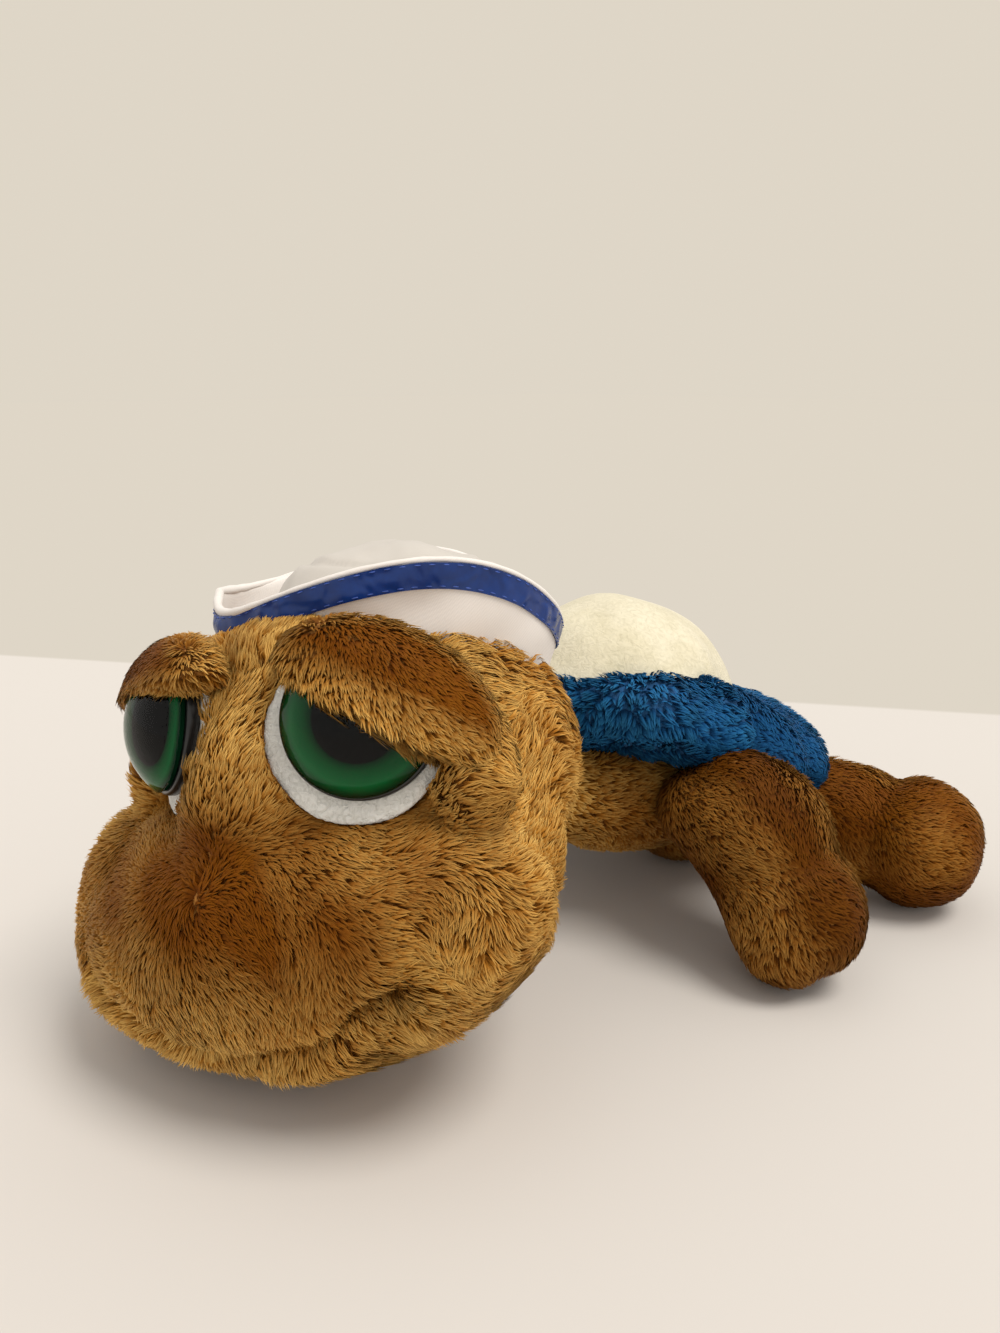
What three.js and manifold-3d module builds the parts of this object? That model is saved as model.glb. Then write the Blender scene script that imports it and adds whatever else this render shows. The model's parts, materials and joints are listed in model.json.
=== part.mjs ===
// Plush sea turtle in a sailor hat, lying on a table with its head turned to its left.
// Millimetres. The nose points to -Y, the turtle's left side is +X and up is +Z.
// The origin is on the table, under the middle of the whole toy.
import * as THREE from 'three';
import { mergeVertices } from 'three/addons/utils/BufferGeometryUtils.js';
import Module from 'manifold-3d';

const wasm = await Module();
wasm.setup();

// Cloth thickness, clearances and cutters
const plushWall = 2.2;
const seamGap = 0.3;
const fitGap = 0.35;
const socketGap = 0.6;
const restFlat = 0.5;
const overrun = 5;
const cutterSize = 500;

// Neck: where the head turns, and how the head lies at rest
const neckAhead = 74;
const neckBallRadius = 22;
const neckWaistRadius = 11;
const neckWaistLength = 42;
const neckWadGap = 0.8;
const headReach = 55;
const headRise = 2;
const headTurn = THREE.MathUtils.degToRad(18);
const headRoll = THREE.MathUtils.degToRad(10);

// Head: a cranium and a wide muzzle that flow into each other
const craniumWidth = 126;
const craniumDepth = 108;
const craniumHeight = 94;
const craniumSetback = 12;
const craniumRise = 18;
const muzzleWidth = 154;
const muzzleDepth = 92;
const muzzleHeight = 80;
const muzzleAhead = 20;
const muzzleDrop = 17;
const muzzleShift = 12;
const muzzleRoll = THREE.MathUtils.degToRad(7);
const backSeamSetback = 26;
const jawDrop = 54;
const jawTilt = THREE.MathUtils.degToRad(-24);

// Eyes: felt backing, black cup with its post and washer, printed iris and clear lens
const eyeSpread = 30;
const eyeAhead = 29;
const eyeRise = 41;
const eyeTurn = THREE.MathUtils.degToRad(30);
const eyeTilt = THREE.MathUtils.degToRad(17);
const feltOverhang = 5;
const feltThickness = 1.6;
const feltInset = 4;
const feltDrop = 2.5;
const cupRadius = 19.5;
const cupThickness = 3;
const lensRimWidth = 0.75;
const irisThickness = 0.8;
const lensHeight = 10;
const postRadius = 3;
const postStickOut = 4.5;
const ridgeFoot = 2.2;
const ridgeTop = 3;
const postRidge = 0.5;
const washerRadius = 10;
const washerThickness = 1.5;
const lidThickness = 7;
const lidSideOverhang = 12.5;
const lidTopOverhang = 4.5;
const lidDrop = 9;
const lidOutset = 4.5;
const lidSlant = THREE.MathUtils.degToRad(35);

// Hat: stuffed crown, upturned brim and a ribbon sewn round the brim
const hatAside = 1;
const hatSetback = 26;
const hatRise = 54;
const hatYaw = THREE.MathUtils.degToRad(40);
const hatLean = THREE.MathUtils.degToRad(15);
const crownLength = 88;
const crownWidth = 68;
const crownHeight = 47;
const brimLength = 93;
const brimWidth = 78;
const brimHeight = 24;
const brimThickness = 2.4;
const brimFlare = 5;
const brimSaddle = 12;
const ribbonWidth = 7;
const ribbonThickness = 0.8;
const ribbonBelowEdge = 2.2;

// Body: a torso that rises to the neck and a rump that carries the pellet bag
const torsoWidth = 83;
const torsoLength = 104;
const torsoHeight = 56;
const torsoCentreHeight = 41;
const torsoTilt = THREE.MathUtils.degToRad(-7);
const rumpWidth = 76;
const rumpLength = 60;
const rumpHeight = 54;
const rumpSetback = 24;
const pelletBagWidth = 56;
const pelletBagLength = 38;
const pelletBagHeight = 28;
const pelletBagFloor = 1.8;

// Carapace: a cream dome over the back and a puffy blue rim round its foot
const domeWidth = 92;
const domeLength = 92;
const domeTop = 115;
const domeFoot = 62;
const domeHem = 67;
const domeAhead = 11;
const rimPathWidth = 80;
const rimPathLength = 110;
const rimSetback = 6;
const rimHeight = 70;
const rimTilt = THREE.MathUtils.degToRad(-9);
const rimHalfThickness = 12.5;
const rimFrontReach = 6;
const rimRearReach = 33;
const rimDroop = THREE.MathUtils.degToRad(20);
const rimPuff = 1.2;
const rimPuffs = 9;
const rimSectionPoints = 9;

// Flippers: a ball root in a pocket of the body, swelling to a round foot
const rootRadius = 14.5;
const rootWadGap = 1.3;
const soleTilt = THREE.MathUtils.degToRad(38);
const soleShare = 0.45;
const flipperKinds = [
  {
    name: 'front', pivotOut: 47, pivotBack: -14, pivotHeight: 49,
    reach: 49, footRadius: 19.8, waist: 12.5, heading: THREE.MathUtils.degToRad(2),
  },
  {
    name: 'rear', pivotOut: 35, pivotBack: 41, pivotHeight: 31,
    reach: 58, footRadius: 22.5, waist: 13.5, heading: THREE.MathUtils.degToRad(33),
  },
];

// Facet counts
const fine = { around: 26, along: 15 };
const middling = { around: 16, along: 10 };
const round = { around: 16, along: 12 };
const coarse = { around: 10, along: 7 };
const ringSteps = 32;
const capSteps = 3;
const sideSteps = 5;
const discSides = 18;
const postSides = 8;
const blendPower = 10;

// Colours
const finishes = {
  plush: { color: 0x96602c, roughness: 0.95, metalness: 0 },
  sole: { color: 0x8c5a3a, roughness: 0.9, metalness: 0 },
  blue: { color: 0x1f5c9c, roughness: 0.95, metalness: 0 },
  cream: { color: 0xece5cc, roughness: 0.95, metalness: 0 },
  twill: { color: 0xe8e2da, roughness: 0.85, metalness: 0 },
  ribbon: { color: 0x16307c, roughness: 0.35, metalness: 0 },
  felt: { color: 0xd2d2c2, roughness: 1, metalness: 0 },
  black: { color: 0x0a0a0a, roughness: 0.4, metalness: 0 },
  iris: { color: 0x0f4b1e, roughness: 0.3, metalness: 0 },
  lens: { color: 0xdfeee8, roughness: 0.05, metalness: 0 },
  white: { color: 0xf2f2f0, roughness: 1, metalness: 0 },
  nylon: { color: 0xd8d8d4, roughness: 0.5, metalness: 0 },
};

// A closed geometry as a solid that can be joined and cut
function solidOf(geometry) {
  const bare = new THREE.BufferGeometry();
  bare.setAttribute('position', geometry.getAttribute('position').clone());
  bare.setIndex(geometry.getIndex());
  const merged = mergeVertices(bare);
  const vertProperties = new Float32Array(merged.getAttribute('position').array);
  const triVerts = new Uint32Array(merged.getIndex().array);
  return new wasm.Manifold(new wasm.Mesh({ numProp: 3, vertProperties, triVerts }));
}

function geometryOf(solid) {
  const mesh = solid.getMesh();
  const geometry = new THREE.BufferGeometry();
  geometry.setAttribute('position', new THREE.BufferAttribute(mesh.vertProperties, 3));
  geometry.setIndex(new THREE.BufferAttribute(mesh.triVerts, 1));
  geometry.computeVertexNormals();
  return geometry;
}

// Adds a piece whose solid is given in the toy's frame to a group that is placed in it
function addPiece(group, name, solid, finish) {
  group.updateWorldMatrix(true, false);
  const geometry = geometryOf(solid).applyMatrix4(group.matrixWorld.clone().invert());
  const mesh = new THREE.Mesh(geometry, new THREE.MeshStandardMaterial(finishes[finish]));
  mesh.name = name;
  group.add(mesh);
}

// The same geometry as a solid at the group's place in the toy's frame
function placedSolid(geometry, group) {
  group.updateWorldMatrix(true, false);
  return solidOf(geometry.clone().applyMatrix4(group.matrixWorld));
}

// How far a ray from inside an ellipsoid goes before it leaves it
function rayExit(hub, direction, lobe, margin) {
  const turnBack = lobe.turn.clone().invert();
  const grown = lobe.radii.clone().addScalar(margin);
  const from = hub.clone().sub(lobe.centre).applyQuaternion(turnBack).divide(grown);
  const along = direction.clone().applyQuaternion(turnBack).divide(grown);
  const a = along.lengthSq();
  const b = from.dot(along);
  const c = from.lengthSq() - 1;
  return (-b + Math.sqrt(b * b - a * c)) / a;
}

// A stuffed form: ellipsoid lobes that flow into each other, seen from a hub inside them all
function stuffedForm(hub, lobes, margin, facets) {
  const geometry = new THREE.SphereGeometry(1, facets.around, facets.along);
  geometry.rotateX(Math.PI / 2);
  const places = geometry.getAttribute('position');
  const direction = new THREE.Vector3();
  for (let i = 0; i < places.count; i += 1) {
    direction.fromBufferAttribute(places, i).normalize();
    let sum = 0;
    for (const lobe of lobes) {
      sum += rayExit(hub, direction, lobe, margin) ** blendPower;
    }
    const reach = sum ** (1 / blendPower);
    places.setXYZ(i, hub.x + direction.x * reach, hub.y + direction.y * reach, hub.z + direction.z * reach);
  }
  return geometry;
}

function ellipsoid(centre, width, length, height, tilt = 0, roll = 0) {
  return {
    centre,
    radii: new THREE.Vector3(width / 2, length / 2, height / 2),
    turn: new THREE.Quaternion().setFromEuler(new THREE.Euler(tilt, roll, 0)),
  };
}

function ball(centre, radius, facets) {
  return stuffedForm(centre, [ellipsoid(centre, 2 * radius, 2 * radius, 2 * radius)], 0, facets);
}

// A disc or dome turned round the Z axis from a profile of radius and height
function turned(profile, sides) {
  const geometry = new THREE.LatheGeometry(profile, sides);
  geometry.rotateX(Math.PI / 2);
  return geometry;
}

// A disc whose middle is off the axis
function offsetDisc(place, radius, low, high, sides) {
  return disc(radius, low, high, sides).translate(place.x, place.y, 0);
}

function disc(radius, low, high, sides) {
  const profile = [
    new THREE.Vector2(0, low), new THREE.Vector2(radius, low),
    new THREE.Vector2(radius, high), new THREE.Vector2(0, high),
  ];
  return turned(profile, sides);
}

// A closed ring: a section carried round a loop
function ringGeometry(steps, sectionCount, pointAt) {
  const points = [];
  const faces = [];
  for (let i = 0; i < steps; i += 1) {
    for (let j = 0; j < sectionCount; j += 1) {
      points.push(...pointAt((2 * Math.PI * i) / steps, j).toArray());
      const nextStep = ((i + 1) % steps) * sectionCount;
      const nextPoint = (j + 1) % sectionCount;
      const here = i * sectionCount;
      faces.push(here + j, nextStep + j, nextStep + nextPoint);
      faces.push(here + j, nextStep + nextPoint, here + nextPoint);
    }
  }
  const geometry = new THREE.BufferGeometry();
  geometry.setAttribute('position', new THREE.Float32BufferAttribute(points, 3));
  geometry.setIndex(faces);
  return geometry;
}

// A block whose top face lies at a height, for cutting everything below it away
function blockBelow(height, tilt, through = new THREE.Vector3()) {
  const geometry = new THREE.BoxGeometry(cutterSize, cutterSize, cutterSize);
  geometry.translate(0, 0, height - cutterSize / 2);
  geometry.rotateX(tilt);
  geometry.translate(through.x, through.y, through.z);
  return geometry;
}

const floorCut = solidOf(blockBelow(0, 0));

const toy = new THREE.Group();

// Head frame: its origin is the neck pivot, and the head centre lies ahead of it
const headGroup = new THREE.Group();
headGroup.position.set(0, -neckAhead, 0);
headGroup.rotation.set(0, -headRoll, headTurn, 'ZYX');
toy.add(headGroup);

const headCentre = new THREE.Vector3(0, -headReach, headRise);
const craniumCentre = headCentre.clone().add(new THREE.Vector3(0, craniumSetback, craniumRise));
const muzzleCentre = headCentre.clone().add(new THREE.Vector3(-muzzleShift, -muzzleAhead, -muzzleDrop));
const headLobes = [
  ellipsoid(craniumCentre, craniumWidth, craniumDepth, craniumHeight),
  ellipsoid(muzzleCentre, muzzleWidth, muzzleDepth, muzzleHeight, 0, -muzzleRoll),
];
const headHub = headCentre.clone().add(new THREE.Vector3(0, (craniumSetback - muzzleAhead) / 2, 0));

// The head rests on its chin, and that sets the height of the neck
const restingHead = stuffedForm(headHub, headLobes, 0, fine);
headGroup.updateWorldMatrix(true, false);
restingHead.applyMatrix4(headGroup.matrixWorld).computeBoundingBox();
headGroup.position.z = -restingHead.boundingBox.min.z - restFlat;
const neckPivot = headGroup.position.clone();

function headForm(margin, facets) {
  return placedSolid(stuffedForm(headHub, headLobes, margin, facets), headGroup);
}

// Eye frames: on the flat seat behind each eye, with +Z pointing out of the head
const sides = [
  { name: 'left', sign: 1 },
  { name: 'right', sign: -1 },
];
for (const side of sides) {
  side.eyeGroup = new THREE.Group();
  side.eyeGroup.position.set(side.sign * eyeSpread, headCentre.y - eyeAhead, headCentre.z + eyeRise);
  side.eyeGroup.rotation.set(Math.PI / 2 - eyeTilt, 0, side.sign * eyeTurn, 'ZYX');
  headGroup.add(side.eyeGroup);
  side.feltPlace = new THREE.Vector2(-side.sign * feltInset, -feltDrop);
}

const feltRadius = cupRadius + feltOverhang;
const irisRadius = cupRadius - lensRimWidth - fitGap;
const feltLow = fitGap;
const cupLow = feltLow + feltThickness + fitGap;
const irisLow = cupLow + cupThickness + fitGap;
const lensRim = irisLow + irisThickness + fitGap;
const washerTop = -plushWall - fitGap;
const postLow = washerTop - washerThickness - postStickOut;
const postHole = postRadius + postRidge + fitGap;

function lensProfile(margin) {
  const profile = [];
  const radius = cupRadius + margin;
  for (let i = 0; i <= sideSteps; i += 1) {
    const angle = (Math.PI / 2) * (i / sideSteps);
    const rise = (lensHeight + margin) * Math.sin(angle);
    profile.push(new THREE.Vector2(radius * Math.cos(angle), lensRim + rise));
  }
  profile[profile.length - 1].x = 0;
  return profile;
}

// Everything of the eye that stands out of its seat, grown by a margin, for cutting the lids
function eyeEnvelope(margin) {
  const foot = [new THREE.Vector2(0, -overrun), new THREE.Vector2(cupRadius + margin, -overrun)];
  return turned([...foot, ...lensProfile(margin)], discSides);
}

function addEye(side) {
  const group = side.eyeGroup;
  const feltDisc = offsetDisc(side.feltPlace, feltRadius, feltLow, feltLow + feltThickness, discSides);
  const felt = placedSolid(feltDisc, group)
    .subtract(placedSolid(disc(postHole, -overrun, overrun, postSides), group))
    .intersect(headForm(cupLow, fine));
  addPiece(group, `${side.name}_eye_felt`, felt, 'felt');

  const ridgeLow = postLow + ridgeFoot;
  const ridgeHigh = postLow + ridgeTop;
  const cup = turned([
    new THREE.Vector2(0, postLow), new THREE.Vector2(postRadius - postRidge, postLow),
    new THREE.Vector2(postRadius, ridgeLow), new THREE.Vector2(postRadius + postRidge, ridgeHigh),
    new THREE.Vector2(postRadius, ridgeHigh), new THREE.Vector2(postRadius, cupLow),
    new THREE.Vector2(cupRadius, cupLow), new THREE.Vector2(cupRadius, cupLow + cupThickness),
    new THREE.Vector2(0, cupLow + cupThickness),
  ], discSides);
  addPiece(group, `${side.name}_eye_cup`, placedSolid(cup, group), 'black');

  const washer = placedSolid(disc(washerRadius, washerTop - washerThickness, washerTop, postSides), group)
    .subtract(placedSolid(disc(postHole, -cutterSize / 2, overrun, postSides), group));
  addPiece(group, `${side.name}_eye_washer`, washer, 'nylon');

  const iris = disc(irisRadius, irisLow, irisLow + irisThickness, discSides);
  addPiece(group, `${side.name}_eye_iris`, placedSolid(iris, group), 'iris');

  const recess = irisRadius + fitGap;
  const lens = turned([
    new THREE.Vector2(0, lensRim), new THREE.Vector2(recess, lensRim),
    new THREE.Vector2(recess, irisLow), new THREE.Vector2(cupRadius, irisLow),
    ...lensProfile(0),
  ], discSides);
  addPiece(group, `${side.name}_eye_lens`, placedSolid(lens, group), 'lens');
}

// The stuffed lid lies over the upper part of the lens and slants down to the outer corner
function lidForm(side, margin) {
  const top = cupRadius + lidTopOverhang;
  const halfWidth = cupRadius + lidSideOverhang + margin;
  const halfHeight = (top + lidDrop) / 2 + margin;
  const halfDepth = lensHeight + lidThickness + margin;
  const form = new THREE.SphereGeometry(1, middling.around, middling.along);
  form.scale(halfWidth, halfHeight, halfDepth);
  form.rotateZ(-side.sign * lidSlant);
  form.translate(side.sign * lidOutset, (top - lidDrop) / 2, lensRim);
  return placedSolid(form, side.eyeGroup);
}

function addLid(side, headGrown) {
  const feltRoom = offsetDisc(side.feltPlace, feltRadius + fitGap, -overrun, cupLow, discSides);
  const lid = lidForm(side, 0)
    .subtract(placedSolid(eyeEnvelope(fitGap), side.eyeGroup))
    .subtract(placedSolid(feltRoom, side.eyeGroup))
    .subtract(headGrown);
  addPiece(headGroup, `${side.name}_eyelid`, lid, 'plush');
}

// Head cover: face, jaw and back panels over one wad of stuffing
function addHead() {
  const seatRadius = feltRadius + fitGap;
  const neckPocket = solidOf(ball(neckPivot, neckBallRadius + socketGap, round));
  let cover = headForm(0, fine);
  let hollow = headForm(-plushWall, coarse);
  let stuffing = headForm(-plushWall - fitGap, coarse).subtract(neckPocket);
  for (const side of sides) {
    const sunk = (radius, low) => {
      const drum = offsetDisc(side.feltPlace, radius, low, headReach, discSides);
      return placedSolid(drum, side.eyeGroup);
    };
    const seat = sunk(seatRadius, 0);
    const backing = sunk(seatRadius + plushWall, -plushWall);
    const well = sunk(seatRadius + plushWall + fitGap, postLow - fitGap);
    const hole = placedSolid(disc(postHole, -overrun, overrun, postSides), side.eyeGroup);
    const washerDisc = disc(washerRadius + fitGap, postLow - fitGap, -plushWall, postSides);
    const washerRoom = placedSolid(washerDisc, side.eyeGroup);
    cover = cover.subtract(seat).subtract(hole).subtract(washerRoom);
    hollow = hollow.subtract(backing);
    stuffing = stuffing.subtract(well);
  }
  cover = cover.subtract(hollow).subtract(neckPocket).subtract(floorCut);

  const seam = new THREE.Vector3(0, headCentre.y + backSeamSetback, 0);
  const frontBlock = placedSolid(blockBelow(seamGap / 2, Math.PI / 2, seam), headGroup);
  const rearBlock = placedSolid(blockBelow(seamGap / 2, -Math.PI / 2, seam), headGroup);
  const jawPlace = new THREE.Vector3(0, headCentre.y - muzzleAhead, headCentre.z - jawDrop);
  const jawBlock = placedSolid(blockBelow(0, jawTilt, jawPlace), headGroup);
  const jawGrown = placedSolid(blockBelow(seamGap, jawTilt, jawPlace), headGroup);
  addPiece(headGroup, 'head_face', cover.subtract(frontBlock).subtract(jawGrown), 'plush');
  addPiece(headGroup, 'head_jaw', cover.subtract(frontBlock).intersect(jawBlock), 'plush');
  addPiece(headGroup, 'head_back', cover.subtract(rearBlock), 'plush');
  addPiece(headGroup, 'head_stuffing', stuffing.subtract(floorCut), 'white');
  const neckWad = ball(neckPivot, neckBallRadius - plushWall - neckWadGap, round);
  addPiece(toy, 'neck_wad', solidOf(neckWad), 'white');
}

// Hat frame: on the top of the head, with +X along the folded cap from end to end
const hatGroup = new THREE.Group();
hatGroup.position.set(hatAside, headCentre.y + hatSetback, headCentre.z + hatRise);
hatGroup.rotation.set(0, hatLean, hatYaw, 'ZYX');
headGroup.add(hatGroup);

function crownForm(margin, facets) {
  const centre = new THREE.Vector3();
  const form = ellipsoid(centre, crownLength, crownWidth, crownHeight);
  return placedSolid(stuffedForm(centre, [form], margin, facets), hatGroup);
}

// A point of the brim: round the hat, at a share of its height and a depth off its outer face
function brimPoint(angle, heightShare, inward) {
  const flare = brimFlare * heightShare - inward;
  return new THREE.Vector3(
    (brimLength / 2 + flare) * Math.cos(angle),
    (brimWidth / 2 + flare) * Math.sin(angle),
    brimHeight * (heightShare - 1 / 2) - brimSaddle * Math.cos(2 * angle),
  );
}

function brimRing(lowShare, highShare, outer, inner) {
  const corners = [[lowShare, outer], [highShare, outer], [highShare, inner], [lowShare, inner]];
  const pointAt = (angle, j) => brimPoint(angle, corners[j][0], corners[j][1]);
  return placedSolid(ringGeometry(ringSteps, corners.length, pointAt), hatGroup);
}

function addHat(headGrown) {
  const cutters = [headGrown, ...sides.map((side) => lidForm(side, fitGap))];
  const fitted = (solid) => cutters.reduce((rest, cutter) => rest.subtract(cutter), solid);
  addPiece(hatGroup, 'hat_brim', fitted(brimRing(0, 1, 0, brimThickness)), 'twill');
  const ribbonHigh = 1 - ribbonBelowEdge / brimHeight;
  const ribbonLow = ribbonHigh - ribbonWidth / brimHeight;
  const ribbon = brimRing(ribbonLow, ribbonHigh, -fitGap - ribbonThickness, -fitGap);
  addPiece(hatGroup, 'hat_ribbon', fitted(ribbon), 'ribbon');
  const crown = crownForm(0, middling).subtract(crownForm(-plushWall, coarse));
  addPiece(hatGroup, 'hat_crown', fitted(crown), 'twill');
  const wadding = crownForm(-plushWall - fitGap, coarse);
  addPiece(hatGroup, 'hat_wadding', fitted(wadding), 'white');
}

// Body
const torsoCentre = new THREE.Vector3(0, 0, torsoCentreHeight);
const rumpCentre = new THREE.Vector3(0, rumpSetback, rumpHeight / 2 - restFlat);
const bodyHub = new THREE.Vector3(0, rumpSetback / 2, (torsoCentre.z + rumpCentre.z) / 2);
const bodyLobes = [
  ellipsoid(torsoCentre, torsoWidth, torsoLength, torsoHeight, torsoTilt),
  ellipsoid(rumpCentre, rumpWidth, rumpLength, rumpHeight),
];

function bodyForm(margin, facets) {
  return solidOf(stuffedForm(bodyHub, bodyLobes, margin, facets));
}

// The neck runs from the ball inside the head into the torso
function neckForm(margin) {
  const radius = neckWaistRadius + margin;
  const waist = new THREE.CylinderGeometry(radius, radius, neckWaistLength, coarse.around);
  waist.translate(0, neckWaistLength / 2, 0);
  const toBody = bodyHub.clone().sub(neckPivot).normalize();
  waist.applyQuaternion(new THREE.Quaternion().setFromUnitVectors(new THREE.Vector3(0, 1, 0), toBody));
  waist.translate(neckPivot.x, neckPivot.y, neckPivot.z);
  return solidOf(ball(neckPivot, neckBallRadius + margin, round)).add(solidOf(waist));
}

function addBody(pockets) {
  let cover = bodyForm(0, fine).add(neckForm(0)).subtract(bodyForm(-plushWall, coarse));
  cover = cover.subtract(solidOf(ball(neckPivot, neckBallRadius - plushWall, round)));
  for (const pocket of pockets) {
    cover = cover.subtract(pocket);
  }
  cover = cover.subtract(floorCut);
  const slope = Math.atan2(bodyHub.z - neckPivot.z, bodyHub.y - neckPivot.y);
  const lower = solidOf(blockBelow(-seamGap / 2, slope, neckPivot));
  const lowerGrown = solidOf(blockBelow(seamGap / 2, slope, neckPivot));
  addPiece(toy, 'body_back', cover.subtract(lowerGrown), 'plush');
  addPiece(toy, 'body_belly', cover.intersect(lower), 'plush');
}

// Fibre fills the torso, and a bag of pellets sits in the rump behind it
function addBodyFill(pockets) {
  const bagCentre = new THREE.Vector3(0, rumpSetback, plushWall + pelletBagFloor + pelletBagHeight / 2);
  const bag = ellipsoid(bagCentre, pelletBagWidth, pelletBagLength, pelletBagHeight);
  const room = bodyForm(-plushWall - fitGap, coarse);
  const bagForm = solidOf(stuffedForm(bagCentre, [bag], 0, coarse));
  addPiece(toy, 'pellet_bag', bagForm.intersect(room), 'nylon');
  let wad = room;
  const cutters = [
    solidOf(stuffedForm(bagCentre, [bag], fitGap, coarse)),
    solidOf(blockBelow(0, Math.PI / 2, bagCentre)),
    solidOf(ball(neckPivot, neckBallRadius + fitGap, round)),
    floorCut,
    ...pockets,
  ];
  for (const cutter of cutters) {
    wad = wad.subtract(cutter);
  }
  addPiece(toy, 'body_stuffing', wad, 'white');
}

// Carapace dome: a stuffed cap that stands on the back of the body
const domeCentre = new THREE.Vector3(0, -domeAhead, domeFoot);
const domeLobe = ellipsoid(domeCentre, domeWidth, domeLength, 2 * (domeTop - domeFoot));
const domeBase = solidOf(blockBelow(domeHem - domeFoot, rimTilt, domeCentre));

function domeForm(margin, facets) {
  return solidOf(stuffedForm(domeCentre, [domeLobe], margin, facets));
}

// A point of the rim: a tube that droops outward, deep at the rear and thin behind the head
function rimPoint(angle, turn) {
  const rearShare = (1 + Math.sin(angle)) / 2;
  const puff = rimPuff * Math.cos(rimPuffs * angle);
  const reach = THREE.MathUtils.lerp(rimFrontReach, rimRearReach, rearShare) + puff;
  const across = reach * Math.cos(turn);
  const upward = rimHalfThickness * Math.sin(turn);
  const outward = across * Math.cos(rimDroop) + upward * Math.sin(rimDroop);
  const rise = upward * Math.cos(rimDroop) - across * Math.sin(rimDroop);
  const place = new THREE.Vector3(
    (rimPathWidth / 2 + outward) * Math.cos(angle),
    (rimPathLength / 2 + outward) * Math.sin(angle),
    rise,
  );
  place.applyAxisAngle(new THREE.Vector3(1, 0, 0), rimTilt);
  return place.add(new THREE.Vector3(0, rimSetback, rimHeight));
}

function rimRing() {
  const turnStep = (2 * Math.PI) / rimSectionPoints;
  return solidOf(ringGeometry(ringSteps, rimSectionPoints, (angle, j) => rimPoint(angle, j * turnStep)));
}

function addCarapace(pockets) {
  const bodyGrown = bodyForm(fitGap, fine).add(neckForm(fitGap));
  const dome = domeForm(0, fine).subtract(domeForm(-plushWall, middling));
  addPiece(toy, 'shell_dome', dome.subtract(domeBase).subtract(bodyGrown), 'cream');
  const fill = domeForm(-plushWall - fitGap, middling);
  addPiece(toy, 'shell_stuffing', fill.subtract(domeBase).subtract(bodyGrown), 'white');
  let rim = rimRing().subtract(bodyGrown).subtract(domeForm(fitGap, fine));
  for (const pocket of pockets) {
    rim = rim.subtract(pocket);
  }
  addPiece(toy, 'shell_rim', rim, 'blue');
}

// Flipper frames: the origin is the ball root's centre and +X runs along the flipper,
// which droops until its round foot rests on the table
function flipperGroup(kind, side) {
  const group = new THREE.Group();
  group.position.set(side.sign * kind.pivotOut, kind.pivotBack, kind.pivotHeight);
  const heading = side.sign > 0 ? kind.heading : Math.PI - kind.heading;
  const droop = Math.asin((kind.pivotHeight - kind.footRadius + restFlat) / kind.reach);
  group.rotation.set(0, droop, heading, 'ZYX');
  toy.add(group);
  return group;
}

// The flipper's outline: ball root, slight waist, swelling to a round foot
function flipperForm(kind, margin, facets) {
  const profile = [];
  for (let i = 0; i <= capSteps; i += 1) {
    const angle = (Math.PI / 2) * (i / capSteps);
    const radius = rootRadius + margin;
    profile.push(new THREE.Vector2(radius * Math.sin(angle), -radius * Math.cos(angle)));
  }
  for (let i = 1; i <= sideSteps; i += 1) {
    const share = i / sideSteps;
    const swell = THREE.MathUtils.smoothstep(share, 0, 1);
    const straight = THREE.MathUtils.lerp(rootRadius, kind.footRadius, swell);
    const dip = (rootRadius - kind.waist) * Math.sin(Math.PI * share) ** 2;
    profile.push(new THREE.Vector2(straight - dip + margin, kind.reach * share));
  }
  for (let i = 1; i <= capSteps; i += 1) {
    const angle = (Math.PI / 2) * (i / capSteps);
    const radius = kind.footRadius + margin;
    profile.push(new THREE.Vector2(radius * Math.cos(angle), kind.reach + radius * Math.sin(angle)));
  }
  profile[0].x = 0;
  profile[profile.length - 1].x = 0;
  const geometry = new THREE.LatheGeometry(profile, facets);
  geometry.rotateZ(-Math.PI / 2);
  return geometry;
}

const rootWadRadius = rootRadius - plushWall - rootWadGap;

function addFlipper(kind, side) {
  const group = flipperGroup(kind, side);
  const prefix = `${kind.name}_${side.name}`;
  const pivot = group.position;
  const skin = placedSolid(flipperForm(kind, 0, middling.around), group)
    .subtract(placedSolid(flipperForm(kind, -plushWall, coarse.around), group))
    .subtract(floorCut);
  const soleBlock = new THREE.BoxGeometry(cutterSize, cutterSize, cutterSize);
  soleBlock.translate(0, 0, -cutterSize / 2);
  soleBlock.rotateY(-soleTilt);
  soleBlock.translate(kind.reach, 0, -kind.footRadius * soleShare);
  const soleGrown = soleBlock.clone().translate(0, 0, seamGap / Math.cos(soleTilt));
  addPiece(group, `${prefix}_flipper`, skin.subtract(placedSolid(soleGrown, group)), 'plush');
  addPiece(group, `${prefix}_sole`, skin.intersect(placedSolid(soleBlock, group)), 'sole');

  addPiece(toy, `${prefix}_root_wad`, solidOf(ball(pivot, rootWadRadius, coarse)), 'white');
  const wadLength = kind.reach + kind.footRadius - plushWall - fitGap - rootWadRadius - fitGap;
  const wad = new THREE.SphereGeometry(1, coarse.around, coarse.along);
  wad.scale(wadLength / 2, kind.waist - plushWall - fitGap, kind.waist - plushWall - fitGap);
  wad.translate(rootWadRadius + fitGap + wadLength / 2, 0, 0);
  addPiece(group, `${prefix}_stuffing`, placedSolid(wad, group).subtract(floorCut), 'white');
}

function socket(kind, side) {
  const pivot = new THREE.Vector3(side.sign * kind.pivotOut, kind.pivotBack, kind.pivotHeight);
  return solidOf(ball(pivot, rootRadius + socketGap, round));
}

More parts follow.
